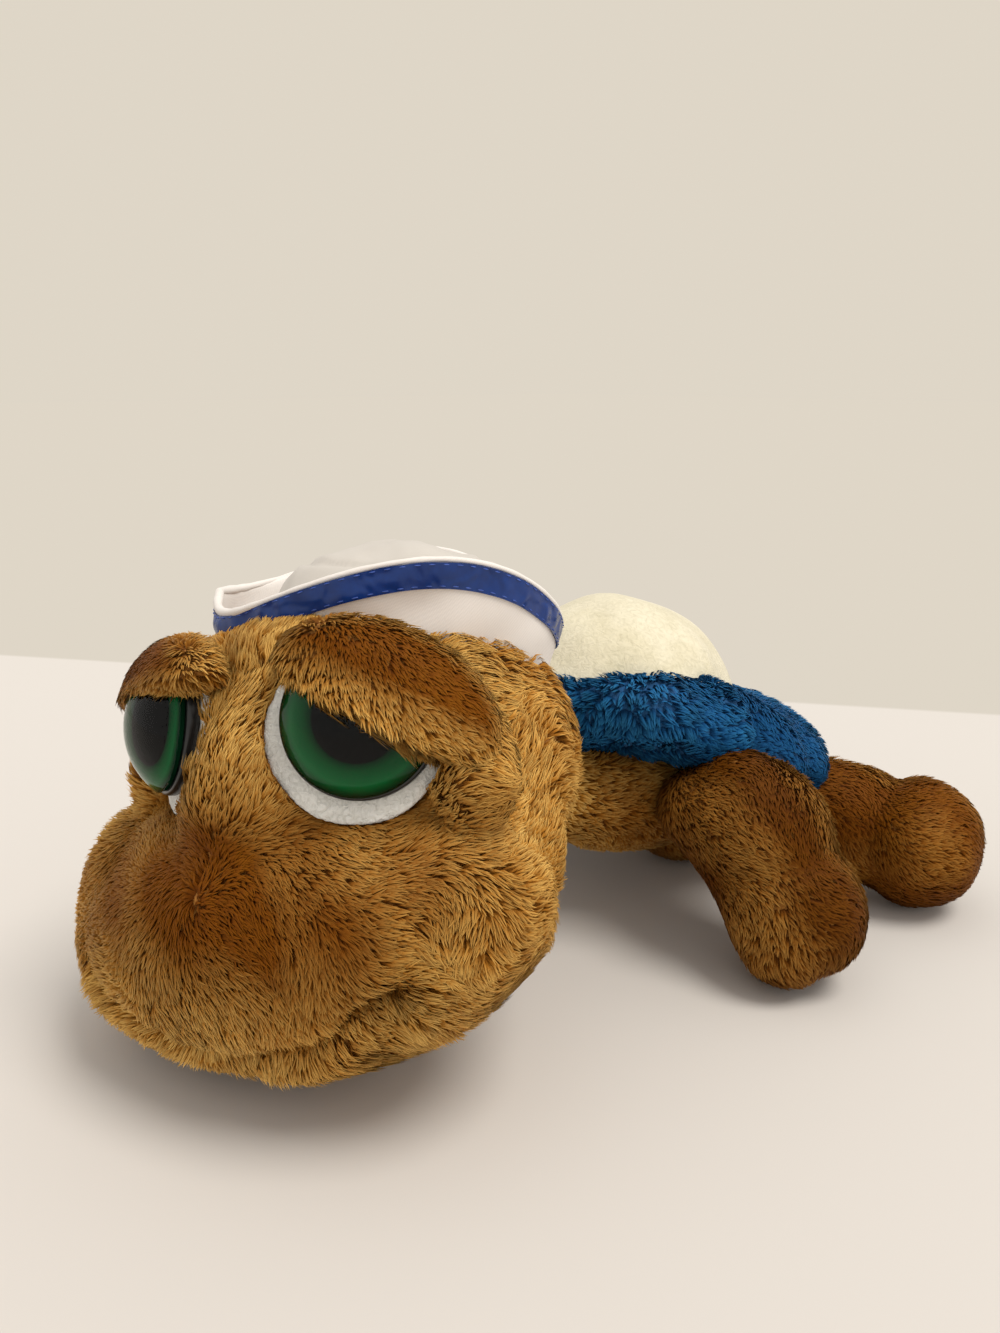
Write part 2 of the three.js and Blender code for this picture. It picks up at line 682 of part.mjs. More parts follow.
addHead();
for (const side of sides) {
  addEye(side);
}
const headGrown = headForm(fitGap, fine);
for (const side of sides) {
  addLid(side, headGrown);
}
addHat(headGrown);
const sockets = [];
for (const kind of flipperKinds) {
  for (const side of sides) {
    sockets.push(socket(kind, side));
    addFlipper(kind, side);
  }
}
addBody(sockets);
addBodyFill(sockets);
addCarapace(sockets);

// The origin goes under the middle of the toy, on the table
const bounds = new THREE.Box3().setFromObject(toy, true);
const middle = bounds.getCenter(new THREE.Vector3());
toy.position.set(-middle.x, -middle.y, -bounds.min.z);

export default toy;
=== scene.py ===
# %% [markdown]
# A plush sea turtle in a sailor hat. The construction model is loaded first and is not changed. Its soft
# covers are plain solids, so each is replaced here by a stuffed skin with real pile on it. All sizes are in
# millimetres times MM, because Blender works in metres.

# %% Start
import json
import math

import bpy
import numpy as np
from mathutils import Euler, Matrix, Vector
from mathutils.kdtree import KDTree


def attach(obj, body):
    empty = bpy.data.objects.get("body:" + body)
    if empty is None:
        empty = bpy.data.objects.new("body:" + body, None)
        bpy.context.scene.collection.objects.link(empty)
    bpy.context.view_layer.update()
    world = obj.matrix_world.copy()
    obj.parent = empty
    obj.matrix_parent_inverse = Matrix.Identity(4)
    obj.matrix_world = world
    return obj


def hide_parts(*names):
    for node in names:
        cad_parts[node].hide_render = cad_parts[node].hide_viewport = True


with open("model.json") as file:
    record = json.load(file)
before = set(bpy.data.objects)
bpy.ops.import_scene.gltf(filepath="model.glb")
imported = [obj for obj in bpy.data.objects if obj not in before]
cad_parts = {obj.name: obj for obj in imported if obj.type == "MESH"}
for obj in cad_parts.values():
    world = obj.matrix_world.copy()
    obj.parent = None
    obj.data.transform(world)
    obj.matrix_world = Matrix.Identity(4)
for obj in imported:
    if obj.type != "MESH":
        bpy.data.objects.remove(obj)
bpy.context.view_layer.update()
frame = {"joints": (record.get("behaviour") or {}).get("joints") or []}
MM = 0.001
joints = {joint["name"]: joint for joint in frame["joints"]}

# %% [markdown]
# The camera stands where the photograph was taken from: a little above the table, in front of the toy and to
# its left. The lens follows from the photograph's height in pixels and its focal length in pixels.

# %% Camera
CAMERA_PLACE = Vector((258.8, -241.8, 189.7)) * MM
CAMERA_AZIMUTH = math.radians(48)
CAMERA_ELEVATION = math.radians(15)
FOCAL_PIXELS = 1100
PHOTO_HEIGHT_PIXELS = 1333
SENSOR = 36.0
NEAREST_SEEN = 10 * MM

camera = bpy.data.objects.new("camera", bpy.data.cameras.new("camera"))
bpy.context.collection.objects.link(camera)
camera.location = CAMERA_PLACE
camera.rotation_euler = (math.pi / 2 - CAMERA_ELEVATION, 0, CAMERA_AZIMUTH)
camera.data.sensor_width = SENSOR
camera.data.lens = FOCAL_PIXELS / PHOTO_HEIGHT_PIXELS * SENSOR
camera.data.clip_start = NEAREST_SEEN
bpy.context.scene.camera = camera

# %% [markdown]
# The parts of the toy lie at an angle, so each has a frame of its own: a matrix that carries points given
# along the part's own axes into the toy's frame. The pivots come from the construction model's joints.

# %% Frames
HEAD_TURN = math.radians(18)
HEAD_ROLL = math.radians(10)
EYE_OFFSET = Vector((30, -84, 43)) * MM
EYE_TURN = math.radians(30)
EYE_TILT = math.radians(17)
HAT_OFFSET = Vector((1, -29, 56)) * MM
HAT_YAW = math.radians(40)
HAT_LEAN = math.radians(15)
BODY_BEHIND_NECK = 74 * MM


def placed(place, turn, tilt, about="Y"):
    """A frame at a place, turned about Z and then about its own Y or X axis."""
    return Matrix.Translation(place) @ Matrix.Rotation(turn, 4, "Z") @ Matrix.Rotation(tilt, 4, about)


neck_pivot = Vector(joints["head_turn"]["pos_m"])
head_frame = placed(neck_pivot, HEAD_TURN, -HEAD_ROLL)
body_frame = Matrix.Translation((0, neck_pivot.y + BODY_BEHIND_NECK, 0))
hat_frame = head_frame @ placed(HAT_OFFSET, HAT_YAW, HAT_LEAN)
SIDES = {"left": 1, "right": -1}
eye_frames = {}
for side, sign in SIDES.items():
    offset = Vector((sign * EYE_OFFSET.x, EYE_OFFSET.y, EYE_OFFSET.z))
    eye_frames[side] = head_frame @ placed(offset, sign * EYE_TURN, math.pi / 2 - EYE_TILT, "X")
print("neck at", tuple(round(c, 4) for c in neck_pivot))

# %% [markdown]
# Operators act on everything that is selected, and the loaded nodes still are. So every step starts with
# nothing selected, or with one piece alone.

# %% Selecting and finishing helpers


def deselect():
    if bpy.context.object is not None and bpy.context.object.mode != "OBJECT":
        bpy.ops.object.mode_set(mode="OBJECT")
    bpy.ops.object.select_all(action="DESELECT")


def select_only(piece):
    deselect()
    piece.select_set(True)
    bpy.context.view_layer.objects.active = piece


def apply_modifier(piece, kind, **settings):
    """Adds one modifier, sets it and applies it."""
    select_only(piece)
    modifier = piece.modifiers.new(kind.lower(), kind)
    for setting, value in settings.items():
        setattr(modifier, setting, value)
    bpy.ops.object.modifier_apply(modifier=modifier.name)
    return piece


def on_all_faces(piece, operator, **settings):
    """Runs one operator of edit mode with the whole mesh selected."""
    select_only(piece)
    bpy.ops.object.mode_set(mode="EDIT")
    bpy.ops.mesh.select_all(action="SELECT")
    operator(**settings)
    bpy.ops.object.mode_set(mode="OBJECT")


def apply_place():
    """Moves the active piece's place, turn and size into its mesh."""
    bpy.ops.object.transform_apply(location=True, rotation=True, scale=True)


def smooth(piece, angle=None):
    """Smooth shading everywhere, or only where faces meet at less than an angle in degrees."""
    select_only(piece)
    if angle is None:
        bpy.ops.object.shade_smooth()
    else:
        bpy.ops.object.shade_smooth_by_angle(angle=math.radians(angle))


def add_object(name, data):
    piece = bpy.data.objects.new(name, data)
    bpy.context.collection.objects.link(piece)
    return piece


def vertex_values(piece, name):
    values = np.zeros(len(piece.data.vertices) * 3)
    piece.data.vertices.foreach_get(name, values)
    return values.reshape(-1, 3)


def points_of(piece):
    return vertex_values(piece, "co")


def normals_of(piece):
    return vertex_values(piece, "normal")


def move_points(piece, points):
    piece.data.vertices.foreach_set("co", np.ascontiguousarray(points, dtype=np.float32).ravel())
    piece.data.update()


def push_out(piece, amounts):
    """Moves each point along its normal by an amount of its own."""
    move_points(piece, points_of(piece) + normals_of(piece) * amounts[:, None])


def into(matrix, points):
    """Points of the toy's frame, seen in another frame."""
    inverse = np.array(matrix.inverted())
    return points @ inverse[:3, :3].T + inverse[:3, 3]


def out_of(matrix, points):
    """Points of another frame, in the toy's frame."""
    forward = np.array(matrix)
    return points @ forward[:3, :3].T + forward[:3, 3]


def turned_out_of(matrix, directions):
    """Directions of another frame, in the toy's frame."""
    return directions @ np.array(matrix)[:3, :3].T


# %% [markdown]
# Smooth variation that is the same in every run: a sum of waves in fixed directions. It bends the lay of the
# pile, crumples cloth and keeps two neighbours alike, which plain random numbers don't do.

# %% Waves
WAVES = 7


def waves(points, wavelength, seed):
    """A smooth value between about -1 and 1 at each point."""
    rng = np.random.default_rng(seed)
    total = np.zeros(len(points))
    for _ in range(WAVES):
        direction = rng.normal(size=3)
        direction *= 2 * math.pi / wavelength * rng.uniform(0.6, 1.6) / np.linalg.norm(direction)
        total += np.sin(points @ direction + rng.uniform(0, 2 * math.pi))
    return total / math.sqrt(WAVES * 1.5)


# %% [markdown]
# A stuffed form is a few round lumps that have grown together. Each lump is a sphere set at its size and
# place. They are joined, a voxel remesh makes one closed skin of them, and smoothing lets them flow
# together. The skin stays a little inside the construction model's surface, because the pile stands on it.

# %% Stuffed forms
LUMP_SEGMENTS, LUMP_RINGS = 40, 24
SMOOTH_FACTOR = 0.5
ABOVE_TABLE = 0.3 * MM


def lump(matrix, place, size, turn=(0, 0, 0)):
    """A sphere scaled to a size, at a place of a frame."""
    deselect()
    bpy.ops.mesh.primitive_uv_sphere_add(segments=LUMP_SEGMENTS, ring_count=LUMP_RINGS, radius=0.5)
    ball = bpy.context.object
    ball.matrix_world = (
        matrix
        @ Matrix.Translation(Vector(place) * MM)
        @ Euler(turn).to_matrix().to_4x4()
        @ Matrix.Diagonal((*(Vector(size) * MM), 1))
    )
    apply_place()
    return ball


def grown_together(name, lumps, voxel, rounds):
    """One smooth skin from spheres that overlap. The voxel is in millimetres."""
    skin = lumps[0]
    select_only(skin)
    if len(lumps) > 1:
        for ball in lumps:
            ball.select_set(True)
        bpy.ops.object.join()
    skin.name = skin.data.name = name
    apply_modifier(skin, "REMESH", mode="VOXEL", voxel_size=voxel * MM)
    apply_modifier(skin, "SMOOTH", factor=SMOOTH_FACTOR, iterations=rounds)
    smooth(skin)
    return skin


def press_on_table(piece):
    points = points_of(piece)
    points[:, 2] = np.maximum(points[:, 2], ABOVE_TABLE)
    move_points(piece, points)


# %% [markdown]
# Stuffing pushes a cover outward between its seams. Blender's Cloth does that with pressure and no gravity,
# while the seams are pinned. How far a point may move is capped, and the result becomes the mesh.

# %% Inflating
CLOTH_FRAMES = 14
CLOTH = {"quality": 4, "mass": 0.2, "tension_stiffness": 12, "compression_stiffness": 12,
         "bending_stiffness": 0.3, "use_pressure": True}


def inflate(piece, pressure, cap, pinned=None):
    """Blows a skin up. No point moves farther than the cap, in millimetres."""
    before = points_of(piece)
    select_only(piece)
    modifier = piece.modifiers.new("cloth", "CLOTH")
    settings = modifier.settings
    for setting, value in CLOTH.items():
        setattr(settings, setting, value)
    settings.uniform_pressure_force = pressure
    settings.effector_weights.gravity = 0
    if pinned is not None:
        group = piece.vertex_groups.new(name="pins")
        group.add([int(i) for i in np.flatnonzero(pinned)], 1.0, "REPLACE")
        settings.vertex_group_mass = group.name
    scene = bpy.context.scene
    for step in range(1, CLOTH_FRAMES + 1):
        scene.frame_set(step)
    bpy.ops.object.modifier_apply(modifier=modifier.name)
    scene.frame_set(1)
    moved = points_of(piece) - before
    far = np.linalg.norm(moved, axis=1, keepdims=True)
    moved *= np.minimum(1, cap * MM / np.maximum(far, 1e-9))
    move_points(piece, before + moved)
    print(piece.name, "moved at most", round(float(far.max()) * 1000, 2), "mm")


# %% [markdown]
# Pile is made of tufts. One tuft is modelled as a three-sided spike with a ring half way up, and is copied
# all over a skin. The short pile of the soles has a spike without the ring. Each copy is bent over along the
# lay of the pile, and neighbours lean together into locks. An attribute runs from root to tip for the
# colour, and each tuft has a cell of its own in a UV map, so that its colour can be baked.

# %% The tuft
TUFT_SIDES = 3
TUFT_MIDDLE = 0.5
TUFT_MIDDLE_WIDTH = 0.85


def model_tuft(ring=True):
    """A spike one unit long and one unit across, tapering to a point."""
    deselect()
    bpy.ops.mesh.primitive_cone_add(vertices=TUFT_SIDES, radius1=0.5, depth=1, location=(0, 0, 0.5))
    spike = bpy.context.object
    if ring:
        on_all_faces(spike, bpy.ops.mesh.bisect, plane_co=(0, 0, TUFT_MIDDLE), plane_no=(0, 0, 1))
    apply_place()
    points = points_of(spike)
    middle = np.abs(points[:, 2] - TUFT_MIDDLE) < 0.01
    radius = np.linalg.norm(points[middle, :2], axis=1, keepdims=True)
    points[middle, :2] *= 0.5 * TUFT_MIDDLE_WIDTH / np.maximum(radius, 1e-9)
    faces = [list(face.vertices) for face in spike.data.polygons]
    bpy.data.objects.remove(spike)
    return points, faces


long_tuft = model_tuft()
short_tuft = model_tuft(ring=False)
print("a long tuft has", len(long_tuft[0]), "corners and", len(long_tuft[1]), "faces")

# %% [markdown]
# The skin is sampled at random, by area, and each tuft gets a root, a direction and a length. The lay is a
# function of the place. Waves swirl it, and some places stand up more than others, as brushed plush does.
# In the deep places it lies flatter and takes darker colours, which are painted shade, and in a pit it is
# shorter and painted darker too. Every tuft leans to the leader of its lock. The shading normals lean
# towards the skin's own, because light passes through real pile and evens it out.

# %% Growing the pile
LOCK_SIZE = 18
TABLE_CLEARANCE = 0.25 * MM
FACES_PER_PIECE = 190_000
SWIRL_WAVE, STAND_WAVE = 42 * MM, 30 * MM
STRAY_TURN = math.radians(16)
DEEP_BEND, MOST_BEND = math.radians(84), math.radians(86)
LOWER_BEND, UPPER_BEND = 0.6, 1.25
TUFT_THICKNESS = 0.42
SPIKE_SHADING, TIP_SHADING = 0.7, 0.25


def scatter(skin, count, rng):
    """Random points on a skin with their normals."""
    mesh = skin.data
    mesh.calc_loop_triangles()
    corners = np.zeros(len(mesh.loop_triangles) * 3, dtype=np.int32)
    mesh.loop_triangles.foreach_get("vertices", corners)
    corners = corners.reshape(-1, 3)
    points, normals = points_of(skin), normals_of(skin)
    a, b, c = (points[corners[:, i]] for i in range(3))
    areas = np.linalg.norm(np.cross(b - a, c - a), axis=1) / 2
    picked = rng.choice(len(corners), size=int(count), p=areas / areas.sum())
    u, v = rng.random((2, int(count)))
    over = u + v > 1
    u[over], v[over] = 1 - u[over], 1 - v[over]
    weights = np.stack([1 - u - v, u, v], axis=1)[:, :, None]
    roots = (points[corners[picked]] * weights).sum(axis=1)
    outward = (normals[corners[picked]] * weights).sum(axis=1)
    return roots, outward / np.linalg.norm(outward, axis=1, keepdims=True)


def area_of(skin):
    return sum(face.area for face in skin.data.polygons)


def unit(vectors):
    return vectors / np.maximum(np.linalg.norm(vectors, axis=1, keepdims=True), 1e-12)


def turned_about(vectors, axes, angles):
    """Each vector turned about its own axis, which is square to it."""
    return vectors * np.cos(angles)[:, None] + np.cross(axes, vectors) * np.sin(angles)[:, None]


def grow_pile(name, skin, lay, finish, length, width, per_mm2, tuft=long_tuft, keep=None, clear=None,
              deep=None, pit=None, thin=None, lean=(35, 72), swirl=40, lock=0.3, seed=1):
    """Tufts over a skin, in as many pieces as the face limit needs. Lengths are in millimetres."""
    rng = np.random.default_rng(seed)
    roots, outward = scatter(skin, area_of(skin) * 1e6 * per_mm2, rng)
    if keep is not None:
        kept = keep(roots, outward)
        roots, outward = roots[kept], outward[kept]
    if thin is not None:
        kept = rng.random(len(roots)) < thin(roots)
        roots, outward = roots[kept], outward[kept]
    count = len(roots)
    along = lay(roots)
    along = unit(along - outward * (along * outward).sum(axis=1, keepdims=True))
    angle = np.radians(swirl) * waves(roots, SWIRL_WAVE, seed) + STRAY_TURN * rng.normal(size=count)
    along = turned_about(along, outward, angle)
    stand = 0.5 + 0.5 * np.clip(waves(roots, STAND_WAVE, seed + 1) + 0.25 * rng.normal(size=count), -1, 1)
    bend = np.radians(lean[0] + (lean[1] - lean[0]) * stand)
    # Where the pile lies flat it takes darker colours in the finish: painted shade. In a pit it is darker
    # still, also painted shade.
    depth = np.zeros(count) if deep is None else np.clip(deep(roots), 0, 1)
    sunk = np.zeros(count) if pit is None else pit(roots)
    bend = bend + (DEEP_BEND - bend) * 0.6 * depth
    long = length * MM * rng.uniform(0.75, 1.15, count) * (1 - 0.25 * depth) * (1 - 0.6 * sunk)
    points, faces = tuft

    def half_way(start, turn):
        """Half a tuft on from a point, in a direction that has turned down from upright."""
        direction = outward * np.cos(turn)[:, None] + along * np.sin(turn)[:, None]
        return start + direction * (long / 2)[:, None]

    middles = half_way(roots, bend * (LOWER_BEND + 0.2 * depth))
    tips = half_way(middles, np.minimum(bend * UPPER_BEND, MOST_BEND))
    leaders = rng.choice(count, size=count // LOCK_SIZE + 1, replace=False)
    nearest = KDTree(len(leaders))
    for i, leader in enumerate(leaders):
        nearest.insert(roots[leader], i)
    nearest.balance()
    own = leaders[[nearest.find(root)[1] for root in roots]]
    # The tone differs at random by tuft and by lock; in a pit it is darkened, as painted shade.
    shade = (rng.random(count) + rng.random(count)[own]) / 2 * (1 - sunk)
    pull = (lock * (1 - 0.6 * depth) * np.clip(rng.normal(1, 0.25, count), 0.3, 1.5))[:, None]
    tips += (tips[own] - tips) * pull
    middles += (middles[own] - middles) * pull * 0.35
    if clear is not None:
        tips, middles = clear(tips), clear(middles)
    for level in (tips, middles, roots):
        level[:, 2] = np.maximum(level[:, 2], TABLE_CLEARANCE)
    wide = width * MM * rng.uniform(0.75, 1.25, count) * (1 + 0.3 * depth)
    across = unit(np.cross(along, outward))
    thick = unit(np.cross(tips - roots, across))
    height = points[:, 2]
    if tuft is long_tuft:
        stations = ((roots, (1 - height) * (1 - 2 * height)), (middles, 4 * height * (1 - height)),
                    (tips, height * (2 * height - 1)))
    else:
        stations = ((roots, 1 - height), (tips, height))
    centres = sum(station[:, None] * share[None, :, None] for station, share in stations)
    spread = (points[None, :, 0, None] * across[:, None]
              + TUFT_THICKNESS * points[None, :, 1, None] * thick[:, None])
    corners = centres + spread * wide[:, None, None]
    corners[..., 2] = np.maximum(corners[..., 2], TABLE_CLEARANCE / 2)
    soft = unit(spread) * SPIKE_SHADING + outward[:, None] + TIP_SHADING * unit(tips - roots)[:, None]
    soft = unit(soft.reshape(-1, 3)).reshape(soft.shape)
    triangles = sum(len(face) - 2 for face in faces)
    pieces = math.ceil(count * triangles / FACES_PER_PIECE)
    order = np.argsort(roots[:, 0] + 0.3 * roots[:, 1])
    made = []
    for part, chosen in enumerate(np.array_split(order, pieces)):
        title = name if pieces == 1 else f"{name}_{part + 1}"
        made.append(tufts_as_mesh(title, corners[chosen], soft[chosen], height, faces, shade[chosen],
                                  depth[chosen], finish))
    print(name, count, "tufts,", count * triangles, "triangles in", pieces)
    return made


def tufts_as_mesh(name, corners, soft, height, faces, shade, depth, finish):
    """One mesh of many tufts, with attributes for the finish, shading normals and a UV cell for each."""
    count, per = corners.shape[:2]
    sizes = np.array([len(face) for face in faces])
    flat = np.concatenate([np.array(face) for face in faces])
    loops = (np.arange(count)[:, None] * per + flat[None]).ravel()
    starts = np.concatenate([[0], np.cumsum(np.tile(sizes, count))[:-1]])
    mesh = bpy.data.meshes.new(name)
    mesh.vertices.add(count * per)
    mesh.vertices.foreach_set("co", corners.astype(np.float32).ravel())
    mesh.loops.add(len(loops))
    mesh.loops.foreach_set("vertex_index", loops.astype(np.int32))
    mesh.polygons.add(count * len(faces))
    mesh.polygons.foreach_set("loop_start", starts.astype(np.int32))
    mesh.polygons.foreach_set("use_smooth", np.ones(count * len(faces), dtype=bool))
    turn = np.arange(per) % TUFT_SIDES
    for title, values in (("tip", np.tile(height, count)), ("tone", np.repeat(shade, per)),
                          ("deep", np.repeat(depth, per)), ("across", np.tile(turn, count))):
        made = mesh.attributes.new(title, "FLOAT", "POINT")
        made.data.foreach_set("value", values.astype(np.float32))
    cells = math.ceil(math.sqrt(count))
    u = (0.2 + 0.3 * turn)[None] + (np.arange(count) % cells)[:, None]
    v = (0.15 + 0.7 * height)[None] + (np.arange(count) // cells)[:, None]
    places = np.stack([u, v], axis=2).reshape(-1, 2) / cells
    uv = mesh.uv_layers.new(name="OFBake")
    uv.data.foreach_set("uv", places[loops].astype(np.float32).ravel())
    mesh.materials.append(finish)
    mesh.update(calc_edges=True)
    mesh.validate()
    mesh.normals_split_custom_set_from_vertices(soft.reshape(-1, 3).tolist())
    return add_object(name, mesh)


# %% [markdown]
# Materials. Every finish is a node tree on object coordinates or on the attributes above. Pile is darker at
# the root, where the darkening is painted shade deep in the pile, and paler and more golden at the tip, with
# slow changes of tone over the toy.

# %% Node helpers


def new_material(name):
    material = bpy.data.materials.new(name)
    material.use_nodes = True
    tree = material.node_tree
    return material, tree, tree.nodes["Principled BSDF"]


def set_inputs(made, **values):
    """Sets inputs by name, with _ for a space."""
    for name, value in values.items():
        made.inputs[name.replace("_", " ")].default_value = value


def node(tree, kind, **inputs):
    made = tree.nodes.new(kind)
    set_inputs(made, **inputs)
    return made


def surface(tree, shader, colour, **values):
    """Feeds the base colour from a socket and sets other inputs of the shader."""
    tree.links.new(colour, shader.inputs["Base Color"])
    set_inputs(shader, **values)


def mapped(tree, kind, place=(0, 0, 0), turn=(0, 0, 0)):
    """Object coordinates, moved and turned."""
    coordinates = tree.nodes.new("ShaderNodeTexCoord")
    mapping = tree.nodes.new("ShaderNodeMapping")
    mapping.vector_type = kind
    set_inputs(mapping, Location=place, Rotation=turn)
    tree.links.new(coordinates.outputs["Object"], mapping.inputs["Vector"])
    return mapping.outputs["Vector"]


def ramp(tree, source, stops):
    """A colour ramp fed by a socket. Each stop is a position and a colour."""
    made = tree.nodes.new("ShaderNodeValToRGB")
    elements = made.color_ramp.elements
    elements.remove(elements[1])
    elements[0].position = stops[0][0]
    elements[0].color = (*stops[0][1], 1)
    for position, colour in stops[1:]:
        elements.new(position).color = (*colour, 1)
    tree.links.new(source, made.inputs["Fac"])
    return made.outputs["Color"]


def mix(tree, share, first, second, way="MIX"):
    made = tree.nodes.new("ShaderNodeMix")
    made.data_type = "RGBA"
    made.blend_type = way
    for socket, value in ((made.inputs[0], share), (made.inputs[6], first), (made.inputs[7], second)):
        if isinstance(value, bpy.types.NodeSocket):
            tree.links.new(value, socket)
        elif isinstance(value, tuple):
            socket.default_value = (*value, 1)
        else:
            socket.default_value = value
    return made.outputs[2]


def noise(tree, scale, detail=2.0, distortion=0.0):
    coordinates = tree.nodes.new("ShaderNodeTexCoord")
    made = node(tree, "ShaderNodeTexNoise", Scale=scale, Detail=detail, Distortion=distortion)
    tree.links.new(coordinates.outputs["Object"], made.inputs["Vector"])
    return made.outputs["Fac"]


def bump(tree, shader, height, strength, distance):
    made = node(tree, "ShaderNodeBump", Strength=strength, Distance=distance)
    tree.links.new(height, made.inputs["Height"])
    tree.links.new(made.outputs["Normal"], shader.inputs["Normal"])


def attribute(tree, name):
    made = tree.nodes.new("ShaderNodeAttribute")
    made.attribute_name = name
    return made.outputs["Fac"]


def math_node(tree, operation, first, second):
    made = tree.nodes.new("ShaderNodeMath")
    made.operation = operation
    tree.links.new(first, made.inputs[0])
    made.inputs[1].default_value = second
    return made.outputs[0]


def times(tree, first, second):
    return mix(tree, 1.0, first, second, "MULTIPLY")


def clouded(tree, colour, shade, scale, detail, distortion=0.0, places=(0.35, 0.6)):
    """A colour that changes slowly between itself and itself times a shade."""
    slow = noise(tree, scale, detail, distortion)
    return times(tree, colour, ramp(tree, slow, [(places[0], shade), (places[1], WHITE)]))


def mottled(name, first, second, scale, detail, distortion=0.0, bumps=None, **values):
    """A finish that noise varies between two tones. Each tone is a place on the noise and a colour."""
    material, tree, shader = new_material(name)
    fine = noise(tree, scale, detail, distortion)
    surface(tree, shader, ramp(tree, fine, [first, second]), **values)
    if bumps is not None:
        bump(tree, shader, fine, *bumps)
    return material


# %% Pile and cover finishes
WHITE = (1.0, 1.0, 1.0)
STRANDS = 3.0
TUFT_PLACES = (0.0, 0.4, 0.85)
TONES = [(0.1, (0.58, 0.54, 0.50)), (0.9, WHITE)]
DEEP_TONES = [(0.0, (0.70, 0.68, 0.65)), (0.5, (0.9, 0.9, 0.9))]
LINES = [(0.1, (0.64, 0.58, 0.52)), (0.75, WHITE)]
DEEP_LINES = [(0.1, (0.85, 0.84, 0.82)), (0.75, WHITE)]


def pile_finish(name, golden, pressed_shade, dark):
    """Colours for root, middle and tip, of long pile and of the deep places. Darker roots and the deep
    places' darker colours are painted shade.
    """
    material, tree, shader = new_material(name)
    deep = attribute(tree, "deep")

    def by_depth(source, usual, sunk):
        return mix(tree, deep, ramp(tree, source, usual), ramp(tree, source, sunk))

    colour = by_depth(attribute(tree, "tip"), list(zip(TUFT_PLACES, golden)), list(zip(TUFT_PLACES, pressed_shade)))
    colour = clouded(tree, colour, dark, 26, 3, places=(0.35, 0.62))
    colour = times(tree, colour, by_depth(attribute(tree, "tone"), TONES, DEEP_TONES))
    strands = math_node(tree, "MULTIPLY", attribute(tree, "across"), STRANDS)
    strands = math_node(tree, "PINGPONG", strands, 1.0)
    colour = times(tree, colour, by_depth(strands, LINES, DEEP_LINES))
    surface(tree, shader, colour, Roughness=0.6, Specular_IOR_Level=0.06)
    return material


def cover_finish(name, colour, dark):
    """The knitted backing under the pile, with slow changes of tone."""
    material, tree, shader = new_material(name)
    fine = noise(tree, 900, 4)
    knitted = ramp(tree, fine, [(0.3, dark), (0.7, colour)])
    surface(tree, shader, clouded(tree, knitted, (0.93, 0.92, 0.88), 60, 3, 0.6), Roughness=0.9)
    bump(tree, shader, fine, 0.6, 0.0006)
    return material


def darker(colours, share, tint=WHITE):
    return tuple(tuple(c * share * t for c, t in zip(colour, tint)) for colour in colours)


GOLDEN = ((0.26, 0.095, 0.010), (0.56, 0.24, 0.030), (0.98, 0.62, 0.18))
# Colours of the deep places, where the pile lies flat: painted shade, darker than the pile's own colours.
PRESSED_PILE_SHADE = ((0.13, 0.033, 0.001), (0.175, 0.050, 0.001), (0.26, 0.088, 0.004))
BROWN_CLOUD = (0.84, 0.76, 0.64)
# The limbs' pile is a darker copy of the head's pile: the darkening is painted shade. The tint makes it
# browner.
LIMB_PAINTED_SHADES = {"front": 0.66, "rear": 0.90}
LIMB_TINT = (1.0, 0.86, 0.7)

brown_pile = pile_finish("caramel_pile", GOLDEN, PRESSED_PILE_SHADE, BROWN_CLOUD)
limb_piles = {
    kind: pile_finish(f"{kind}_limb_pile", darker(GOLDEN, share, LIMB_TINT), darker(PRESSED_PILE_SHADE, share),
                      BROWN_CLOUD)
    for kind, share in LIMB_PAINTED_SHADES.items()
}
brown_cover = cover_finish("caramel_backing", (0.40, 0.16, 0.020), (0.28, 0.105, 0.012))
sole_pile = pile_finish("sole_pile", ((0.17, 0.075, 0.03), (0.28, 0.13, 0.05), (0.38, 0.19, 0.08)),
                        ((0.12, 0.05, 0.02), (0.20, 0.09, 0.035), (0.27, 0.13, 0.05)), (0.8, 0.74, 0.7))
blue_pile = pile_finish("blue_pile", ((0.005, 0.055, 0.18), (0.010, 0.12, 0.34), (0.035, 0.26, 0.58)),
                        ((0.004, 0.035, 0.11), (0.008, 0.08, 0.23), (0.018, 0.15, 0.36)), (0.7, 0.74, 0.8))
blue_cover = cover_finish("blue_backing", (0.010, 0.10, 0.28), (0.006, 0.06, 0.17))

cream, tree, shader = new_material("cream_velour")
brushed = noise(tree, 430, 6, 1.5)
velour = ramp(tree, brushed, [(0.25, (0.66, 0.61, 0.45)), (0.6, (0.80, 0.74, 0.565))])
surface(tree, shader, clouded(tree, velour, (0.90, 0.89, 0.84), 55, 4, 0.8, (0.35, 0.65)),
        Roughness=1.0, Sheen_Weight=0.25)
bump(tree, shader, brushed, 0.5, 0.0008)

# %% [markdown]
# The head is a high cranium and a wide, heavy muzzle. The eyes sit in flat seats between them. A seam goes
# round behind the cheeks, and the mouth is a seam low on the muzzle that ends in a dimple.

# %% Head skin
PILE_INSET = 2.6
HEAD_VOXEL = 2.4
SEAM_WIDTH = 2.6 * MM
GUSSET_PLACE, GUSSET_DEPTH = -29 * MM, 1.8 * MM
MOUTH_CENTRE, MOUTH_DEPTH = -6 * MM, 7.5 * MM
MOUTH_LOW, MOUTH_RISE = -34 * MM, 16 * MM
MOUTH_HALF_WIDTH = 46 * MM
MOUTH_CORNER = np.array([37, -108, -21]) * MM
DIMPLE_RADIUS, DIMPLE_DEPTH = 6.0 * MM, 10.0 * MM
SEAT_RADIUS, SEAT_LEVEL = 23.2 * MM, -0.2 * MM
RECESS_DEPTH = 3.0 * MM
FELT_ASIDE, FELT_DROP = 1.8 * MM, 2.6 * MM
FELT_CLEARANCE = 22.6 * MM


def inset(size, by=PILE_INSET):
    return tuple(s - 2 * by for s in size)


